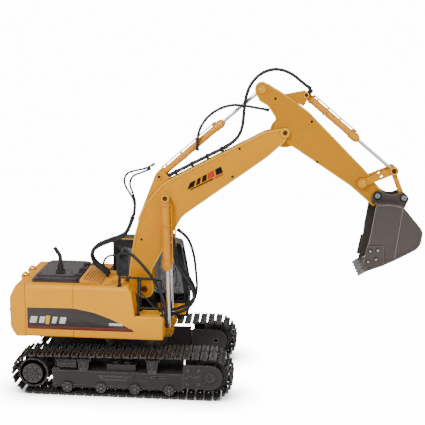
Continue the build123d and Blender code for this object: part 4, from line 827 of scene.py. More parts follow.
lift, deck_ends, boom_back_ends = hose_set(
    [(shifted(LIFT_ROUTE, 1.6 * (k % 2)), y, HOSE_R) for k, y in enumerate(LIFT_Y)], ribbed_hose)
front, boom_low_ends, block_ends = hose_set([(FRONT_ROUTE, y, THICK_HOSE_R) for y in FRONT_Y],
                                            spiral_hose)
outer, boom_low_outer, block_outer = hose_set(
    [(FRONT_OUTER_ROUTE, y, HOSE_R) for y in FRONT_OUTER_Y], ribbed_hose)
upper, upper_low, upper_high = hose_set(
    [(route, y, HOSE_R) for route, y in zip(UPPER_ROUTES, UPPER_Y)], ribbed_hose)
along, along_low, along_high = hose_set([(BOOM_TOP_ROUTE, y, THICK_HOSE_R) for y in (-4.4, 4.4)],
                                        spiral_hose)
arch, arch_low, arch_high = hose_set([(ARCH_ROUTE, y, THICK_HOSE_R) for y in ARCH_Y],
                                     spiral_hose)
throat, throat_stick, throat_boom = hose_set([(THROAT_ROUTE, THROAT_Y, THROAT_R)], ribbed_hose)
deck, deck_high, deck_low = hose_set(
    [(LOOP_ROUTE, LOOP_Y, HOSE_R), (GUARD_ROUTE, GUARD_Y, THICK_HOSE_R)], ribbed_hose)

lift_piece = build("deck_to_boom_hoses", lift, hose_black, None, ("lift_hoses",))
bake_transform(lift_piece)
front_piece = build("front_hoses", join(front, outer), hose_black, None)
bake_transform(front_piece)
arch_piece = build("arch_hoses", arch, hose_black, None, ("arch_hoses",))
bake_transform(arch_piece)
throat_piece = build("throat_hose", throat, hose_black, None)
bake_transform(throat_piece)
build("boom_top_hoses", join(upper, along), hose_black, "boom", ("boom_hoses",))
build("deck_loop_hoses", deck, hose_black, "house", ("house_hoses",))
build("house_hose_ends", join(deck_ends, block_ends, block_outer, deck_high, deck_low),
      satin_black, "house")
build("boom_hose_ends", join(boom_back_ends, boom_low_ends, boom_low_outer, upper_low, upper_high,
                             along_low, along_high, arch_low, throat_boom),
      satin_black, "boom")
build("stick_hose_ends", join(arch_high, throat_stick), satin_black, "stick")


ARCH_PORT = rounded([(229.6, 389.4, 1.0), (233.4, 386.0, 1.0), (238.4, 394.6, 1.4),
                     (234.0, 398.4, 1.4)])
build("arch_hose_port", soft_plate(ARCH_PORT, -7.8, 7.8, 0.4), satin_black, "bucket_barrel")


def strap(place, along_line, half_height, half_width, length):
    """Clip round a hose bundle: a rounded block that the bundle runs through."""
    face = rounded([(-half_height, -half_width, 1.2), (half_height, -half_width, 1.2),
                    (half_height, half_width, 1.2), (-half_height, half_width, 1.2)])
    return moved(soft_plate(face, -length / 2, length / 2, 0.4), aim(along_line), place)


top_start, top_end = at_side(BOOM_TOP_ROUTE, 0)[[0, -1]]
top_line = top_end - top_start
straps = [strap(top_start + top_line * share, top_line, 2.9, 7.4, 3.4)
          for share in (0.12, 0.42, 0.7, 0.97)]
build("boom_hose_clips", join(*straps), satin_black, "boom")

# ------------------------------------------------------------ boom
BOOM_SCREWS = [(16.7, 193.3), (145.4, 318.3), (136.9, 281.5)]
BOOM_MARK = [(75.3, 258.6), (80.4, 271.4), (122.2, 295.0), (126.6, 284.6)]


def side_view(place):
    """X and Z of a place."""
    return float(place[0]), float(place[2])


BOOM_CYLINDER_FACE_Y = 25.6
STICK_CYLINDER_FACE_Y = 9.7
boom_foot, boom_top = pivot["boom_lift"], pivot["boom_barrel_tilt"]
stick_pivot, stick_cylinder_foot = pivot["stick_swing"], pivot["stick_barrel_tilt"]
build("boom_screws", on_sides(cross_screw(1.6, 0.7), BOOM_SCREWS, BOOM_HALF_Y - 0.9),
      screw_black, "boom")
boom_rings = join(
    on_sides(washer(2.3, 1.8, 0.3), BOOM_SCREWS, BOOM_HALF_Y),
    on_sides(washer(6.0, 3.6, 0.8), [side_view(stick_pivot)], BOOM_HALF_Y + 1.8),
    on_sides(washer(5.2, 3.3, 0.9), [side_view(boom_top)], BOOM_CYLINDER_FACE_Y),
    on_sides(washer(3.5, 2.1, 0.6), [side_view(stick_cylinder_foot)], STICK_CYLINDER_FACE_Y))
build("boom_rings", boom_rings, rim_highlight_yellow, "boom")


def pin_end(radius, height):
    """Turned pin end with a chamfer and a centre mark."""
    return turned([(radius, 0), (radius, 0.6 * height), (0.86 * radius, height),
                   (0.3 * radius, height), (0.18 * radius, 0.5 * height)], sides=32)


boom_pin_ends = join(
    on_sides(pin_end(3.2, 0.7), [side_view(stick_pivot)], BOOM_HALF_Y + 1.2),
    on_sides(pin_end(3.0, 0.7), [side_view(boom_top)], BOOM_CYLINDER_FACE_Y),
    on_sides(pin_end(2.0, 0.6), [side_view(stick_cylinder_foot)], STICK_CYLINDER_FACE_Y),
    on_sides(pin_end(4.0, 0.8), [side_view(boom_foot)], BOOM_HALF_Y + 1.0))
build("boom_pin_ends", boom_pin_ends, pin_brown, "boom")


def slanted(outline, first, second, low, high):
    """Part of a four-cornered mark between two shares of its length and two of its height."""
    a, b, c, d = (np.array(corner) for corner in outline)
    bottom, top = (d - a), (c - b)
    left = [a + bottom * first, b + top * first]
    right = [a + bottom * second, b + top * second]
    pick = [left[0] + (left[1] - left[0]) * low, left[0] + (left[1] - left[0]) * high,
            right[0] + (right[1] - right[0]) * high, right[0] + (right[1] - right[0]) * low]
    return rounded([(point[0], point[1], 0.5) for point in pick])


MARK_Y = BOOM_HALF_Y - 0.05


def mark_bar(first, second):
    """Bar of the mark's tall upper row."""
    return soft_plate(slanted(BOOM_MARK, first, second, 0.28, 1.0), MARK_Y, MARK_Y + 0.35, 0.12)


def mark_line(first, second):
    """Line of the mark's low lower row."""
    return soft_plate(slanted(BOOM_MARK, first, second, 0.0, 0.16), MARK_Y, MARK_Y + 0.3, 0.12)


marks = [mark_bar(*bar) for bar in ((0.02, 0.2), (0.25, 0.36), (0.41, 0.54), (0.8, 0.98))]
build("boom_mark", both(join(*marks, mark_line(0.12, 0.72))), screw_black, "boom")
build("boom_accent", both(join(mark_bar(0.57, 0.76), mark_line(0.76, 0.96))), decal_orange,
      "boom")

# ------------------------------------------------------------ stick and linkage
STICK_SCREWS = [(189.9, 383.5), (237.5, 355.0), (246.5, 303.1)]
bucket_cylinder_foot = pivot["bucket_barrel_tilt"]
rocker_pivot, rocker_tip = pivot["rocker_swing"], pivot["link_swing"]
bucket_pivot = pivot["bucket_curl"]
build("stick_screws", on_sides(cross_screw(1.6, 0.7), STICK_SCREWS, STICK_HALF_Y - 0.9),
      screw_black, "stick")
stick_rings = join(
    on_sides(washer(2.3, 1.8, 0.3), STICK_SCREWS, STICK_HALF_Y),
    on_sides(lobed_cap(5.4, 1.1), [side_view(STICK_REAR_PIN)], STICK_HALF_Y - 0.05),
    on_sides(washer(3.8, 2.4, 0.8), [side_view(bucket_cylinder_foot)], 8.0))
build("stick_caps", stick_rings, rim_highlight_yellow, "stick")
build("stick_pin_ends", on_sides(pin_end(2.2, 0.7), [side_view(bucket_cylinder_foot)], 8.0),
      pin_brown, "stick")
lever_face = 13.1
lever_middle = side_view(rocker_pivot + (rocker_tip - rocker_pivot) * 0.6)
rocker_caps = join(
    on_sides(lobed_cap(4.9, 0.9), [side_view(rocker_pivot)], lever_face + 1.35),
    on_sides(washer(5.0, 3.3, 0.6), [side_view(rocker_tip)], lever_face + 1.2),
    on_sides(washer(3.0, 1.8, 0.5), [lever_middle], lever_face))
build("rocker_caps", rocker_caps, rim_highlight_yellow, "rocker")
build("rocker_pin_ends", on_sides(pin_end(3.0, 0.9), [side_view(rocker_tip)], lever_face),
      pin_brown, "rocker")

# ------------------------------------------------------------ cylinders
def cylinder_trim(foot, along_line, y, length, radius):
    """Collars, gland nut and pipe elbows of one cylinder.

    Turned rings at their distances from the foot, and tubes from the feed pipe down to the
    barrel at both of its ends.
    """
    turn = aim(along_line)
    base = np.array([foot[0], y, foot[2]])
    out = np.cross(along_line, (0, 1, 0))
    r = radius
    collar = turned([(r, -1.4), (r + 0.9, -1.2), (r + 1.1, -0.9), (r + 1.1, 0.9), (r + 0.9, 1.2),
                     (r, 1.4)], sides=48)
    nut = turned([(r + 0.8, 0), (r + 1.6, 0.3), (r + 1.6, 2.6), (r + 0.7, 3.2), (r - 0.6, 3.3)],
                 sides=48, flats=8, flat_rows=(1, 2))
    parts = [moved(collar, turn, base + along_line * at) for at in (9.5, 0.38 * length,
                                                                      length - 11)]
    parts.append(moved(nut, turn, base + along_line * (length - 5.6)))
    for at, lean in ((9.0, -1.0), (length - 9.0, 1.0)):
        root = base + along_line * at
        route = np.array([root + out * (r - 0.4), root + out * (r + 2.6) + along_line * lean,
                          root + out * (r + 2.4) - along_line * 3 * lean,
                          root + out * (r + 2.2) - along_line * 6 * lean])
        parts.append(tube(bar_path(route), 0.95, sides=12))
        parts.append(moved(hex_bolt(3.4, 1.4, 1.1), aim(out), root + out * (r - 0.1)))
    return join(*parts)


boom_line = slide_axis["boom_rod_slide"]
stick_line = slide_axis["stick_rod_slide"]
bucket_line = slide_axis["bucket_rod_slide"]
boom_trims = [cylinder_trim(boom_top, boom_line, y, 96.0, 5.4) for y in (-20.2, 20.2)]
build("boom_cylinder_trim", join(*boom_trims), cylinder_yellow, "boom_barrels")
build("stick_cylinder_trim", cylinder_trim(stick_cylinder_foot, stick_line, 0, 110.0, 4.5),
      cylinder_yellow, "stick_barrel")
build("bucket_cylinder_trim", cylinder_trim(bucket_cylinder_foot, bucket_line, 0, 88.0, 4.6),
      cylinder_yellow, "bucket_barrel")

# ------------------------------------------------------------ bucket
CUTTER_BOLTS = [(317.4, 192), (327, 193.4), (315.4, 178), (325.4, 181.4)]
ear_pins = [side_view(bucket_pivot), side_view(LINK_LOW_PIN)]
silver = join(on_sides(socket_bolt(3.1, 1.3), ear_pins, 15.3),
              on_sides(socket_bolt(1.75, 0.9), CUTTER_BOLTS, BUCKET_HALF_Y + 2.4))
build("bucket_bolts", silver, bright_steel, "bucket")
washers = join(on_sides(ring_cap(5.4, 3.7, 0.9, -0.2), ear_pins, 13.7),
               on_sides(ring_cap(2.7, 1.8, 0.4, 0.1), CUTTER_BOLTS, BUCKET_HALF_Y + 1.5))
build("bucket_washers", washers, satin_black, "bucket")
SIDE_BEADS = [
    [(322.0, 250.5), (318.5, 222), (315.6, 203), (313.6, 197)],
    [(356.2, 250.0), (354.0, 228), (351.4, 205), (349.4, 182)],
    [(323.8, 251.4), (335, 252.6), (346, 252.0), (355, 249.8)],
]
# Light beads along the bucket's side edges: wear and a painted rim highlight.
beads = [tube(bar_path(at_side(route, BUCKET_HALF_Y)), 0.42, sides=10) for route in SIDE_BEADS]
build("bucket_side_beads", both(join(*beads)), bead_wear_and_highlight_grey, "bucket")


def ridged_tooth(middle_y):
    """Tooth from root to tip with four ridges along its top.

    Section: superellipse of the fourth power, half width and half height falling along the
    tooth; on the upper half the height is cut by 0.3 |sin(4 pi v)|, v across the width.
    """
    share = np.linspace(0, 1, 9)[:, None]
    angle = np.linspace(0, TAU, 64, endpoint=False)[None]
    round_x = np.sign(np.cos(angle)) * np.abs(np.cos(angle)) ** 0.5
    round_z = np.sign(np.sin(angle)) * np.abs(np.sin(angle)) ** 0.5
    ridge = 1 - 0.3 * np.abs(np.sin(2 * math.pi * round_x)) * (round_z > 0)
    root, tip = np.array([325.0, 171.4]), np.array([303.0, 158.2])
    half_width = 3.9 - 0.7 * share
    half_height = 2.3 - 1.5 * share ** 1.3
    line = (tip - root) / np.linalg.norm(tip - root)
    up = np.array([line[1], -line[0]]) * -1
    lift_off = half_height * round_z * ridge
    x = root[0] + (tip - root)[0] * share + up[0] * lift_off
    z = root[1] + (tip - root)[1] * share + up[1] * lift_off
    return grid_shape(np.stack([x, middle_y + half_width * round_x, z], -1))


teeth = [ridged_tooth((k - 2) * 14.6) for k in range(5)]
build("bucket_teeth_caps", join(*teeth), tooth_steel, "bucket")

# ------------------------------------------------------------ tracks
TRACK_PITCH = 11.15
TRACK_LINKS = 55
GROUND_PIN_Z = 4.9
sprocket_place, idler_place = pivot["right_sprocket_spin"], pivot["right_idler_spin"]
SPROCKET_R = sprocket_place[2] - GROUND_PIN_Z
IDLER_R = idler_place[2] - GROUND_PIN_Z
SPAN = idler_place[0] - sprocket_place[0]
TILT = math.atan((IDLER_R - SPROCKET_R) / SPAN)


def chain_places():
    """X, Z and travel angle of every link pin.

    The loop is a lower line, an arc round the idler, the upper line and an arc round the
    sprocket; each pin takes the formula of the stretch that its travel falls in.
    """
    travel = (np.arange(TRACK_LINKS) + 0.5) * TRACK_PITCH
    wrap = IDLER_R * (math.pi + 2 * TILT)
    top = math.pi + 2 * TILT
    a = np.clip((travel - SPAN) / IDLER_R, 0, top)
    b = np.clip((travel - SPAN - wrap - SPAN) / SPROCKET_R, 0, TAU)
    run = np.clip(travel - SPAN - wrap, 0, SPAN)
    lower = travel < SPAN
    back = travel >= SPAN + wrap + SPAN
    x = np.where(lower, sprocket_place[0] + travel,
                 idler_place[0] + IDLER_R * np.sin(a) + run * math.cos(top) * (a >= top))
    z = np.where(lower, GROUND_PIN_Z,
                 idler_place[2] - IDLER_R * np.cos(a) + run * math.sin(top) * (a >= top))
    x = np.where(back, sprocket_place[0] + SPROCKET_R * np.sin(top + b), x)
    z = np.where(back, sprocket_place[2] - SPROCKET_R * np.cos(top + b), z)
    return x, z, np.where(back, top + b, a)


link_x, link_z, link_angle = chain_places()
zero, one = np.zeros(TRACK_LINKS), np.ones(TRACK_LINKS)
link_turns = np.stack([np.cos(link_angle), zero, -np.sin(link_angle), zero, one, zero,
                       np.sin(link_angle), zero, np.cos(link_angle)], -1).reshape(-1, 3, 3)
link_places = np.stack([link_x, zero - TRACK_MID_Y, link_z], -1)
shoe_bolt = turned([(1.0, 0), (1.0, 0.6), (0.7, 0.85)], sides=12, flats=6, flat_rows=(0, 1))
shoe_bolt = moved(shoe_bolt, aim((0, 0, -1)), (0, 0, -2.85))
shoe_bolts = join(*[moved(shoe_bolt, offset=(0.9, y, 0)) for y in (-9, -5, 5, 9)])
build("track_shoe_bolts", both(copies(shoe_bolts, link_places, link_turns)), track_iron,
      "undercarriage")
pin_head = turned([(1.7, 0), (1.7, 0.8), (1.2, 1.2)], sides=14)
pin_heads = join(moved(pin_head, offset=(0, 8.0, 0)), moved(pin_head, FACE_RIGHT, (0, -8.0, 0)))
build("track_pin_heads", both(copies(pin_heads, link_places, link_turns)), bright_steel,
      "undercarriage")


SPROCKET_FACE_Y = -TRACK_MID_Y - 19.4
ROLLER_FACE_Y = -TRACK_MID_Y - 19.1
FRAME_FACE_Y = TRACK_MID_Y + 16.9


def ring_places(middle, radius, count, start=0.0):
    """Places (x, z) spread evenly on a circle, the first at the start angle in degrees."""
    angle = np.radians(start) + np.arange(count) * TAU / count
    return np.stack([middle[0] + radius * np.cos(angle), middle[1] + radius * np.sin(angle)], -1)


for side, sign in (("left", 1), ("right", -1)):
    face = MIRROR if sign > 0 else np.eye(3)
    hub = side_view(sprocket_place)
    outer_bolts = [(x, SPROCKET_FACE_Y, z) for x, z in ring_places(hub, 9.6, 8, 22.5)]
    inner_bolts = [(x, SPROCKET_FACE_Y, z) for x, z in ring_places(hub, 4.4, 8)]
    trim = join(
        copies(moved(hex_bolt(2.0, 1.3), FACE_RIGHT), outer_bolts),
        copies(moved(socket_bolt(0.75, 1.5), FACE_RIGHT), inner_bolts),
        right_face(ring_cap(19.6, 18.4, 0.9, 0.0), sprocket_place, -TRACK_MID_Y - 15.6),
        right_face(ring_cap(12.9, 11.9, 0.5, 0.3), sprocket_place, SPROCKET_FACE_Y),
        right_face(ring_cap(3.2, 2.0, 0.7, -1.0), sprocket_place, -TRACK_MID_Y - 20.2))
    build(side + "_sprocket_trim", moved(trim, face), frame_grey, side + "_sprocket")
    for k in (1, 2, 3, 4):
        place = pivot[f"{side}_roller_{k}_spin"]
        spots = [(x, ROLLER_FACE_Y, z) for x, z in ring_places(side_view(place), 4.4, 6, 30)]
        trim = join(copies(moved(hex_bolt(1.5, 0.9, 1.3), FACE_RIGHT), spots),
                    right_face(ring_cap(6.7, 5.9, 0.4, 0.05), place, ROLLER_FACE_Y),
                    right_face(ring_cap(2.4, 1.3, 0.6, -0.6), place, ROLLER_FACE_Y))
        build(f"{side}_roller_{k}_trim", moved(trim, face), frame_grey, f"{side}_roller_{k}")

YOKE_BOLTS = [(x, idler_place[2] + dz) for x in (86.5, 101.0) for dz in (-9.5, 9.5)]
POST_BOLTS = [(-49.3, 44.0), (40.6, 45.8)]
POST_FEET = [(x + dx, 35.4) for x in (-49.3, 40.6) for dx in (-3, 3)]
frame_bolts = join(
    on_sides(hex_bolt(2.8, 1.2, 1.4), YOKE_BOLTS, TRACK_MID_Y + 17.0),
    on_sides(hex_bolt(4.2, 1.6, 1.35), POST_BOLTS, FRAME_FACE_Y),
    on_sides(hex_bolt(2.0, 0.9, 1.4), POST_FEET, FRAME_FACE_Y),
    on_sides(ring_cap(7.4, 4.6, 0.8, 0.1), [side_view(idler_place)], TRACK_MID_Y + 17.9))
build("track_frame_bolts", frame_bolts, frame_grey, "undercarriage")
RAIL_BEADS = [[(-88, 13.4), (-60, 13.4), (40, 13.4), (79, 13.4)],
              [(-88, 31.8), (-60, 31.8), (40, 31.8), (79, 31.8)],
              [(42, 29.6), (50, 29.6), (56, 29.6), (62, 29.6)]]
rails = [tube(bar_path(at_side(route, TRACK_MID_Y + 16.6)), 0.45, sides=10)
         for route in RAIL_BEADS]
build("track_frame_beads", both(join(*rails)), frame_grey, "undercarriage")

# ------------------------------------------------------------ house, right and left sides
SIDE_FLARE = [(-128, 108.5), (-66.5, 109.4, 60), (-39, 104.2, 60), (-16, 95.8, 60),
              (3.2, 86.6, 60), (19.0, 79.6), (-128, 79.6)]
SIDE_STRIPE = [(-128, 84.0), (9.6, 84.0), (19.0, 79.9), (-128, 79.9)]


def side_sheet(corners_list, lift_off, thickness, samples=7):
    """Thin sheet on the house side; both sides get one."""
    low = -HOUSE_SIDE_Y - 0.02 + lift_off
    return both(soft_plate(rounded(corners_list, samples), low, low + thickness, 0.06))


def clipped(corners_list, limit):
    """The same corners, none ahead of the limit in X."""
    return [(min(corner[0], limit), *corner[1:]) for corner in corners_list]


house_front = 13.6
SHEET_Y = 60.1
build("side_flare", side_sheet(clipped(SIDE_FLARE, house_front), 0.0, 0.16), decal_grey, "house")
build("side_stripe", side_sheet(clipped(SIDE_STRIPE, house_front), 0.12, 0.12), decal_maroon,
      "house")
flare_bars = [soft_plate(rounded([(x, 88.0, 0.6), (x + w, 88.0, 0.6), (x + w + 2.4, 97.0, 0.6),
                                  (x + 2.4, 97.0, 0.6)]), SHEET_Y, SHEET_Y + 0.2, 0.05)
              for x, w in ((-125.5, 9), (-113, 7), (-96, 6), (-86, 8))]
flare_bars.append(soft_plate(rounded([(-19.6, 87.4, 0.4), (-1.4, 87.4, 0.4), (-1.8, 90.8, 0.4),
                                      (-19.2, 90.8, 0.4)]), SHEET_Y, SHEET_Y + 0.2, 0.05))
build("side_bars", both(join(*flare_bars)), decal_white, "house")
flash = soft_plate(rounded([(-104, 86.6, 0.4), (-99.4, 86.6, 0.4), (-97.4, 98.6, 0.4),
                            (-102.6, 98.6, 0.4)]), SHEET_Y, SHEET_Y + 0.22, 0.05)
build("side_flash", both(flash), house_yellow, "house")


def plan_plate(outline, low, high, edge=0.3):
    """Plan-view outline (x, y) carried from z = low to z = high."""
    swap = np.array([[1.0, 0, 0], [0, 0, 1.0], [0, 1.0, 0]])
    return moved(soft_plate(outline, low, high, edge), swap)


# Deck tread: low lozenges in alternate directions.
lozenge = plan_plate(rounded([(-1.9, 0), (0, -0.55, 0.3), (1.9, 0), (0, 0.55, 0.3)], 3), 0, 0.45,
                     0.2)


def tread(x_low, x_high, y_low, y_high, z, pitch=3.0):
    """Lozenges on a square grid, every other one turned by a right angle, all at 45 degrees."""
    xs, ys = np.meshgrid(np.arange(x_low, x_high, pitch), np.arange(y_low, y_high, pitch),
                         indexing="ij")
    odd = (np.add.outer(np.arange(xs.shape[0]), np.arange(xs.shape[1])) % 2).ravel()
    angle = math.pi / 4 + odd * math.pi / 2
    nought, unit = np.zeros(len(odd)), np.ones(len(odd))
    turns = np.stack([np.cos(angle), -np.sin(angle), nought, np.sin(angle), np.cos(angle), nought,
                      nought, nought, unit], -1).reshape(-1, 3, 3)
    places = np.stack([xs.ravel(), ys.ravel(), np.full(xs.size, z)], -1)
    return copies(lozenge, places, turns)


build("deck_tread", join(tread(-125, -38, 49, 54.5, DECK_Z), tread(-26, -8, -50, -44, DECK_Z),
                         tread(-20, -8, -40, -26, DECK_Z)),
      house_yellow, "house")


# Hood: a strip of woven grille along both flanks, piping, latches and screws.
def upright_panel(x_low, x_high, z_low, z_high, y, thickness, radius=1.2):
    face = rounded([(x_low, z_low, radius), (x_high, z_low, radius), (x_high, z_high, radius),
                    (x_low, z_high, radius)])
    return soft_plate(face, y, y + thickness, 0.2)


build("hood_grille", both(upright_panel(-122, -66, 141.4, 144.6, 43.5, 0.5)), grille_grey,
      "house")
frame_route = [(-125.4, 141.6), (-125.4, 145.4), (-90, 145.5), (-62.6, 145.2), (-62.4, 141.6)]
build("hood_piping", both(tube(bar_path(at_side(frame_route, 43.9)), 0.5, sides=10)), hood_grey,
      "house")
LATCH_Y = (-34, -6, 22)
latch = plan_plate(rounded([(-5.2, -2.6, 2.6), (5.2, -2.6, 2.6), (5.2, 2.6, 2.6),
                            (-5.2, 2.6, 2.6)]), 0, 1.0, 0.4)
latch_bar = plan_plate(rounded([(-3.4, -0.8, 0.8), (3.4, -0.8, 0.8), (3.4, 0.8, 0.8),
                                (-3.4, 0.8, 0.8)]), 0.9, 1.7, 0.3)
build("hood_latches_trim", copies(join(latch, latch_bar), [(-65.6, y, DECK_Z + 7.8)
                                                           for y in LATCH_Y]),
      satin_black, "house")
hood_screw = moved(cross_screw(1.2, 0.5), UPWARD)
build("hood_screws", copies(hood_screw, [(x, y, 148.2) for x in (-116, -74) for y in (-32, 32)]),
      screw_black, "house")

# Exhaust: two bands and the four bolts of its foot.
band = turned([(4.0, -0.9), (4.5, -0.7), (4.5, 0.7), (4.0, 0.9)], sides=36)
band = moved(band, UPWARD)
foot_bolt = moved(hex_bolt(1.8, 0.9), UPWARD)
build("exhaust_bands", join(moved(band, offset=(-90, -30, 153.6)),
                            moved(band, offset=(-90, -30, 157.2)),
                            copies(foot_bolt, [(-94, -33, 152.3), (-86, -33, 152.3),
                                               (-94, -27, 152.3), (-86, -27, 152.3)])),
      satin_black, "house")

# Lifting eyes: a collar round each foot.
eye_collar = moved(turned([(6.4, 0), (6.4, 0.8), (5.6, 1.5), (3.0, 1.6)], sides=36),
                   UPWARD)
build("lifting_eye_feet", copies(eye_collar, [(-142.5, y, 137.2) for y in (-16, 16)]),
      house_yellow, "house")

# Counterweight: rear lamps.
lamp = moved(turned([(4.4, 0), (4.4, 1.4), (3.8, 2.0), (3.6, 1.5), (1.0, 1.9)], sides=40),
             aim((-1, 0, 0)))
build("rear_lamps", copies(lamp, [(-156.6, y, 98.0) for y in (-36, 36)]), lens_red, "house")

# Front of the house: bolts of the cylinder brackets.
bracket_bolts = [(45.8, 67.5), (57.4, 67.0)]
build("front_bracket_bolts", on_sides(hex_bolt(2.6, 1.2), bracket_bolts, 26.6), bright_steel,
      "house")


def foot_plate(place):
    """Round flange with four screws under a rail or post."""
    flange = turned([(3.3, 0), (3.3, 0.6), (2.9, 0.9), (1.4, 1.0)], sides=32)
    spots = [(x, 0.7, z) for x, z in ring_places((0, 0), 2.3, 4, 45)]
    screws = copies(turned([(0.55, 0), (0.55, 0.4), (0.3, 0.6)], sides=12), spots)
    return moved(join(flange, screws), UPWARD, place)


rail_feet = [(-7, -53, DECK_Z), (18.2, -53, 100.8), (50, -53, 100.8), (18.2, -34, 100.8),
             (46, -34, 100.8)]
build("rail_feet", join(*[foot_plate(place) for place in rail_feet]), satin_black, "house")
rail_joint = turned([(1.9, -1.6), (2.1, -1.3), (2.1, 1.3), (1.9, 1.6)], sides=28)
build("rail_clamps", join(moved(rail_joint, UPWARD, (18.2, -53, 149.4)),
                          moved(rail_joint, UPWARD, (18.2, -53, 111)),
                          moved(rail_joint, aim((1, 0, 0)), (6, -53, 151.4))),
      satin_black, "house")
mirror_pane = [(-8.0, 155.4, 2), (3.2, 155.4, 2), (3.2, 182, 3), (-8.0, 182, 5)]
build("mirror_pane", soft_plate(rounded(mirror_pane), -50.4, -50.1, 0.1), dark_glass,
      "house")

# ------------------------------------------------------------ cab
def frame_bead(outline, y, radius):
    """Round bead along a closed side-view outline.

    The outline is offset by r cos a along its own normal and by r sin a along Y.
    """
    step = np.roll(outline, -1, 0) - np.roll(outline, 1, 0)
    normal = np.stack([-step[:, 1], step[:, 0]], -1)
    normal /= np.maximum(np.linalg.norm(normal, axis=1, keepdims=True), 1e-9)
    angle = np.linspace(0, TAU, 10, endpoint=False)
    flat = outline[:, None] + radius * normal[:, None] * np.cos(angle)[None, :, None]
    level = np.broadcast_to(y + radius * np.sin(angle), flat.shape[:2])
    grid = np.stack([flat[..., 0], level, flat[..., 1]], -1)
    return grid_shape(np.concatenate([grid, grid[:1]]), capped=False)


CAB_RIGHT_Y, CAB_LEFT_Y = low_corner["cab_shell"][1], high_corner["cab_shell"][1]
REAR_WINDOW = [(-24, 112, 2), (8, 112, 2), (8, 172, 2), (-24, 172, 2)]
DOOR_WINDOW = [(13, 96, 2), (71.5, 96, 2), (70.6, 114), (61.5, 168, 3), (54, 172, 3),
               (13, 172, 2)]
seals = [frame_bead(rounded(window), y, 0.9) for window in (REAR_WINDOW, DOOR_WINDOW)
         for y in (CAB_RIGHT_Y - 0.1, CAB_LEFT_Y + 0.1)]
build("window_seals", join(*seals), hose_black, "house")
SILL = [(-28.6, 76, 1.5), (73, 76, 1.5), (75.6, 92, 3), (12, 92, 2), (8, 108, 2), (-28.6, 108, 2)]
sill_right = soft_plate(rounded(SILL), CAB_RIGHT_Y - 0.7, CAB_RIGHT_Y + 0.1, 0.3)
sill_left = soft_plate(rounded(SILL), CAB_LEFT_Y - 0.1, CAB_LEFT_Y + 0.7, 0.3)
roof = plan_plate(rounded([(-27, CAB_RIGHT_Y + 2, 3), (50, CAB_RIGHT_Y + 2, 3),
                           (50, CAB_LEFT_Y - 2, 3), (-27, CAB_LEFT_Y - 2, 3)]), 181.8, 183.2, 0.5)
build("cab_panels", join(sill_right, sill_left, roof), house_yellow, "house")
handle = tube(bar_path([(16, CAB_LEFT_Y, 100), (16, CAB_LEFT_Y, 101), (16, CAB_LEFT_Y, 118),
                        (16, CAB_LEFT_Y, 119)]), 0.9, sides=12)
door_handle = moved(handle, offset=(0, 2.2, -8))
handle_feet = copies(turned([(1.3, 0), (1.3, 2.0), (0.9, 2.4)], sides=16),
                     [(16, CAB_LEFT_Y, 92.5), (16, CAB_LEFT_Y, 110.5)])
hinge = turned([(1.3, -2.6), (1.5, -2.2), (1.5, 2.2), (1.3, 2.6)], sides=20)
hinges = copies(moved(hinge, UPWARD), [(10.6, CAB_LEFT_Y + 0.6, z)
                                               for z in (100, 130, 162)])
wiper = tube(bar_path([(74.2, 41, 116), (72.4, 41, 126), (70.2, 41, 138), (67.6, 41, 152)]), 0.6,
             sides=10)
wiper_blade = tube(bar_path([(72.4, 38.6, 128), (70.6, 38.6, 138), (68.4, 38.6, 149),
                             (65.6, 38.6, 164)]), 0.8, sides=10)
build("cab_fittings", join(door_handle, handle_feet, hinges, moved(wiper, offset=(2.6, 0, 0)),
                           moved(wiper_blade, offset=(2.6, 0, 0))),
      satin_black, "house")
work_lamp = moved(turned([(2.6, -3), (3.4, 0), (3.4, 1.6), (3.0, 2.0), (2.8, 1.4), (0.6, 1.6)],
                         sides=32), aim((1, 0, 0)))
build("work_lamps", copies(work_lamp, [(52, y, 184.4) for y in (CAB_RIGHT_Y + 7,
                                                                 CAB_LEFT_Y - 7)]),
      bright_steel, "house")

# ------------------------------------------------------------ boom foot and slew ring
slew_bolt = moved(hex_bolt(2.2, 1.0), UPWARD)
foot_bolts = [(x, y, 75.4) for x in (1, 38) for y in (-13.5, 13.5)]
build("boom_foot_bolts", copies(slew_bolt, foot_bolts), bright_steel, "house")

# ------------------------------------------------------------ floor, lights and camera
SEEN_GLOW = 14.0
SOFT_LIGHT = 0.34


def stage_floor():
    """Floor that rises behind the machine: height = 0.81 (distance beyond 1.2 m)^2, in metres."""
    x, y = np.meshgrid(np.linspace(-6000, 6000, 25), np.linspace(-3500, 4200, 60), indexing="ij")
    beyond = np.clip(y / 1000 - 1.2, 0, None)
    grid = np.stack([x, y, 810 * beyond ** 2], -1)
    return grid_shape(grid[:, ::-1], capped=False, ring=False)


def stage_material():
    """Pale floor that glows to the camera alone, less where something stands close to it; that
    dimming is a painted contact shadow.
    """
    material = bpy.data.materials.new("pale floor")
    material.use_nodes = True
    shader = material.node_tree.nodes["Principled BSDF"]
    shader.inputs["Base Color"].default_value = (0.93, 0.93, 0.93, 1)
    shader.inputs["Roughness"].default_value = 0.65
    shader.inputs["Emission Color"].default_value = (1, 1, 1, 1)
    tree = material.node_tree
    seen = tree.nodes.new("ShaderNodeLightPath")
    open_air = tree.nodes.new("ShaderNodeAmbientOcclusion")
    open_air.inputs["Distance"].default_value = 0.05
    # Glow dimmed near anything standing close: painted contact shadow.
    painted_contact_shadow = math_node(tree, "POWER", open_air.outputs["AO"], 3.0)
    glow = math_node(tree, "MULTIPLY", seen.outputs["Is Camera Ray"],
                     math_node(tree, "MULTIPLY", painted_contact_shadow, SEEN_GLOW))
    tree.links.new(glow, shader.inputs["Emission Strength"])
    return material


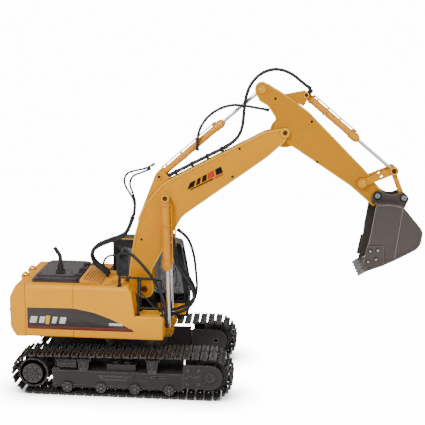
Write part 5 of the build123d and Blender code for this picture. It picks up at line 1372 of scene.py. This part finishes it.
floor_shape = stage_floor()
floor_mesh = bpy.data.meshes.new("floor")
floor_mesh.from_pydata((floor_shape[0] * MM).tolist(), [], floor_shape[1].reshape(-1, 4).tolist())
floor_mesh.materials.append(stage_material())
floor = bpy.data.objects.new("floor", floor_mesh)
bpy.context.scene.collection.objects.link(floor)

world = bpy.data.worlds.new("studio")
world.use_nodes = True
sky = world.node_tree
backdrop = sky.nodes["Background"]
backdrop.inputs["Color"].default_value = (1, 1, 1, 1)
sky_seen = node(sky, "LightPath")
sky_glow = math_node(sky, "MULTIPLY", sky_seen.outputs["Is Camera Ray"], SEEN_GLOW)
sky.links.new(math_node(sky, "ADD", sky_glow, SOFT_LIGHT), backdrop.inputs["Strength"])
bpy.context.scene.world = world


def area_light(name, place, target, width, power):
    """Soft square light at a place, facing a target, both in mm."""
    lamp = bpy.data.lights.new(name, "AREA")
    lamp.shape = "SQUARE"
    lamp.size = width * MM
    lamp.energy = power
    made = bpy.data.objects.new(name, lamp)
    start, end = Vector(place) * MM, Vector(target) * MM
    made.location = start
    made.rotation_mode = "QUATERNION"
    made.rotation_quaternion = (end - start).to_track_quat("-Z", "Y")
    bpy.context.scene.collection.objects.link(made)
    return made


area_light("key", (-450, -900, 1150), (60, 0, 150), 420, 17)
area_light("fill", (1100, -900, 700), (120, 0, 180), 900, 7)
area_light("back", (300, 900, 1100), (100, 0, 150), 900, 5)

VIEW_AZIMUTH, VIEW_RISE, VIEW_ROLL = (math.radians(a) for a in (3.384, 11.596, 0.871))
right = Vector((math.cos(VIEW_AZIMUTH), math.sin(VIEW_AZIMUTH), 0))
forward = Vector((-math.sin(VIEW_AZIMUTH) * math.cos(VIEW_RISE),
                  math.cos(VIEW_AZIMUTH) * math.cos(VIEW_RISE), -math.sin(VIEW_RISE)))
up = right.cross(forward)
tilted_right = right * math.cos(VIEW_ROLL) + up * math.sin(VIEW_ROLL)
tilted_up = up * math.cos(VIEW_ROLL) - right * math.sin(VIEW_ROLL)
lens = bpy.data.cameras.new("camera")
lens.sensor_width = 36
lens.lens = 65.66
lens.clip_start, lens.clip_end = 0.05, 30
camera = bpy.data.objects.new("camera", lens)
turn = Matrix((tilted_right, tilted_up, -forward)).transposed().to_4x4()
camera.matrix_world = Matrix.Translation(Vector((170.735, -1016.272, 439.210)) * MM) @ turn
bpy.context.scene.collection.objects.link(camera)
bpy.context.scene.camera = camera
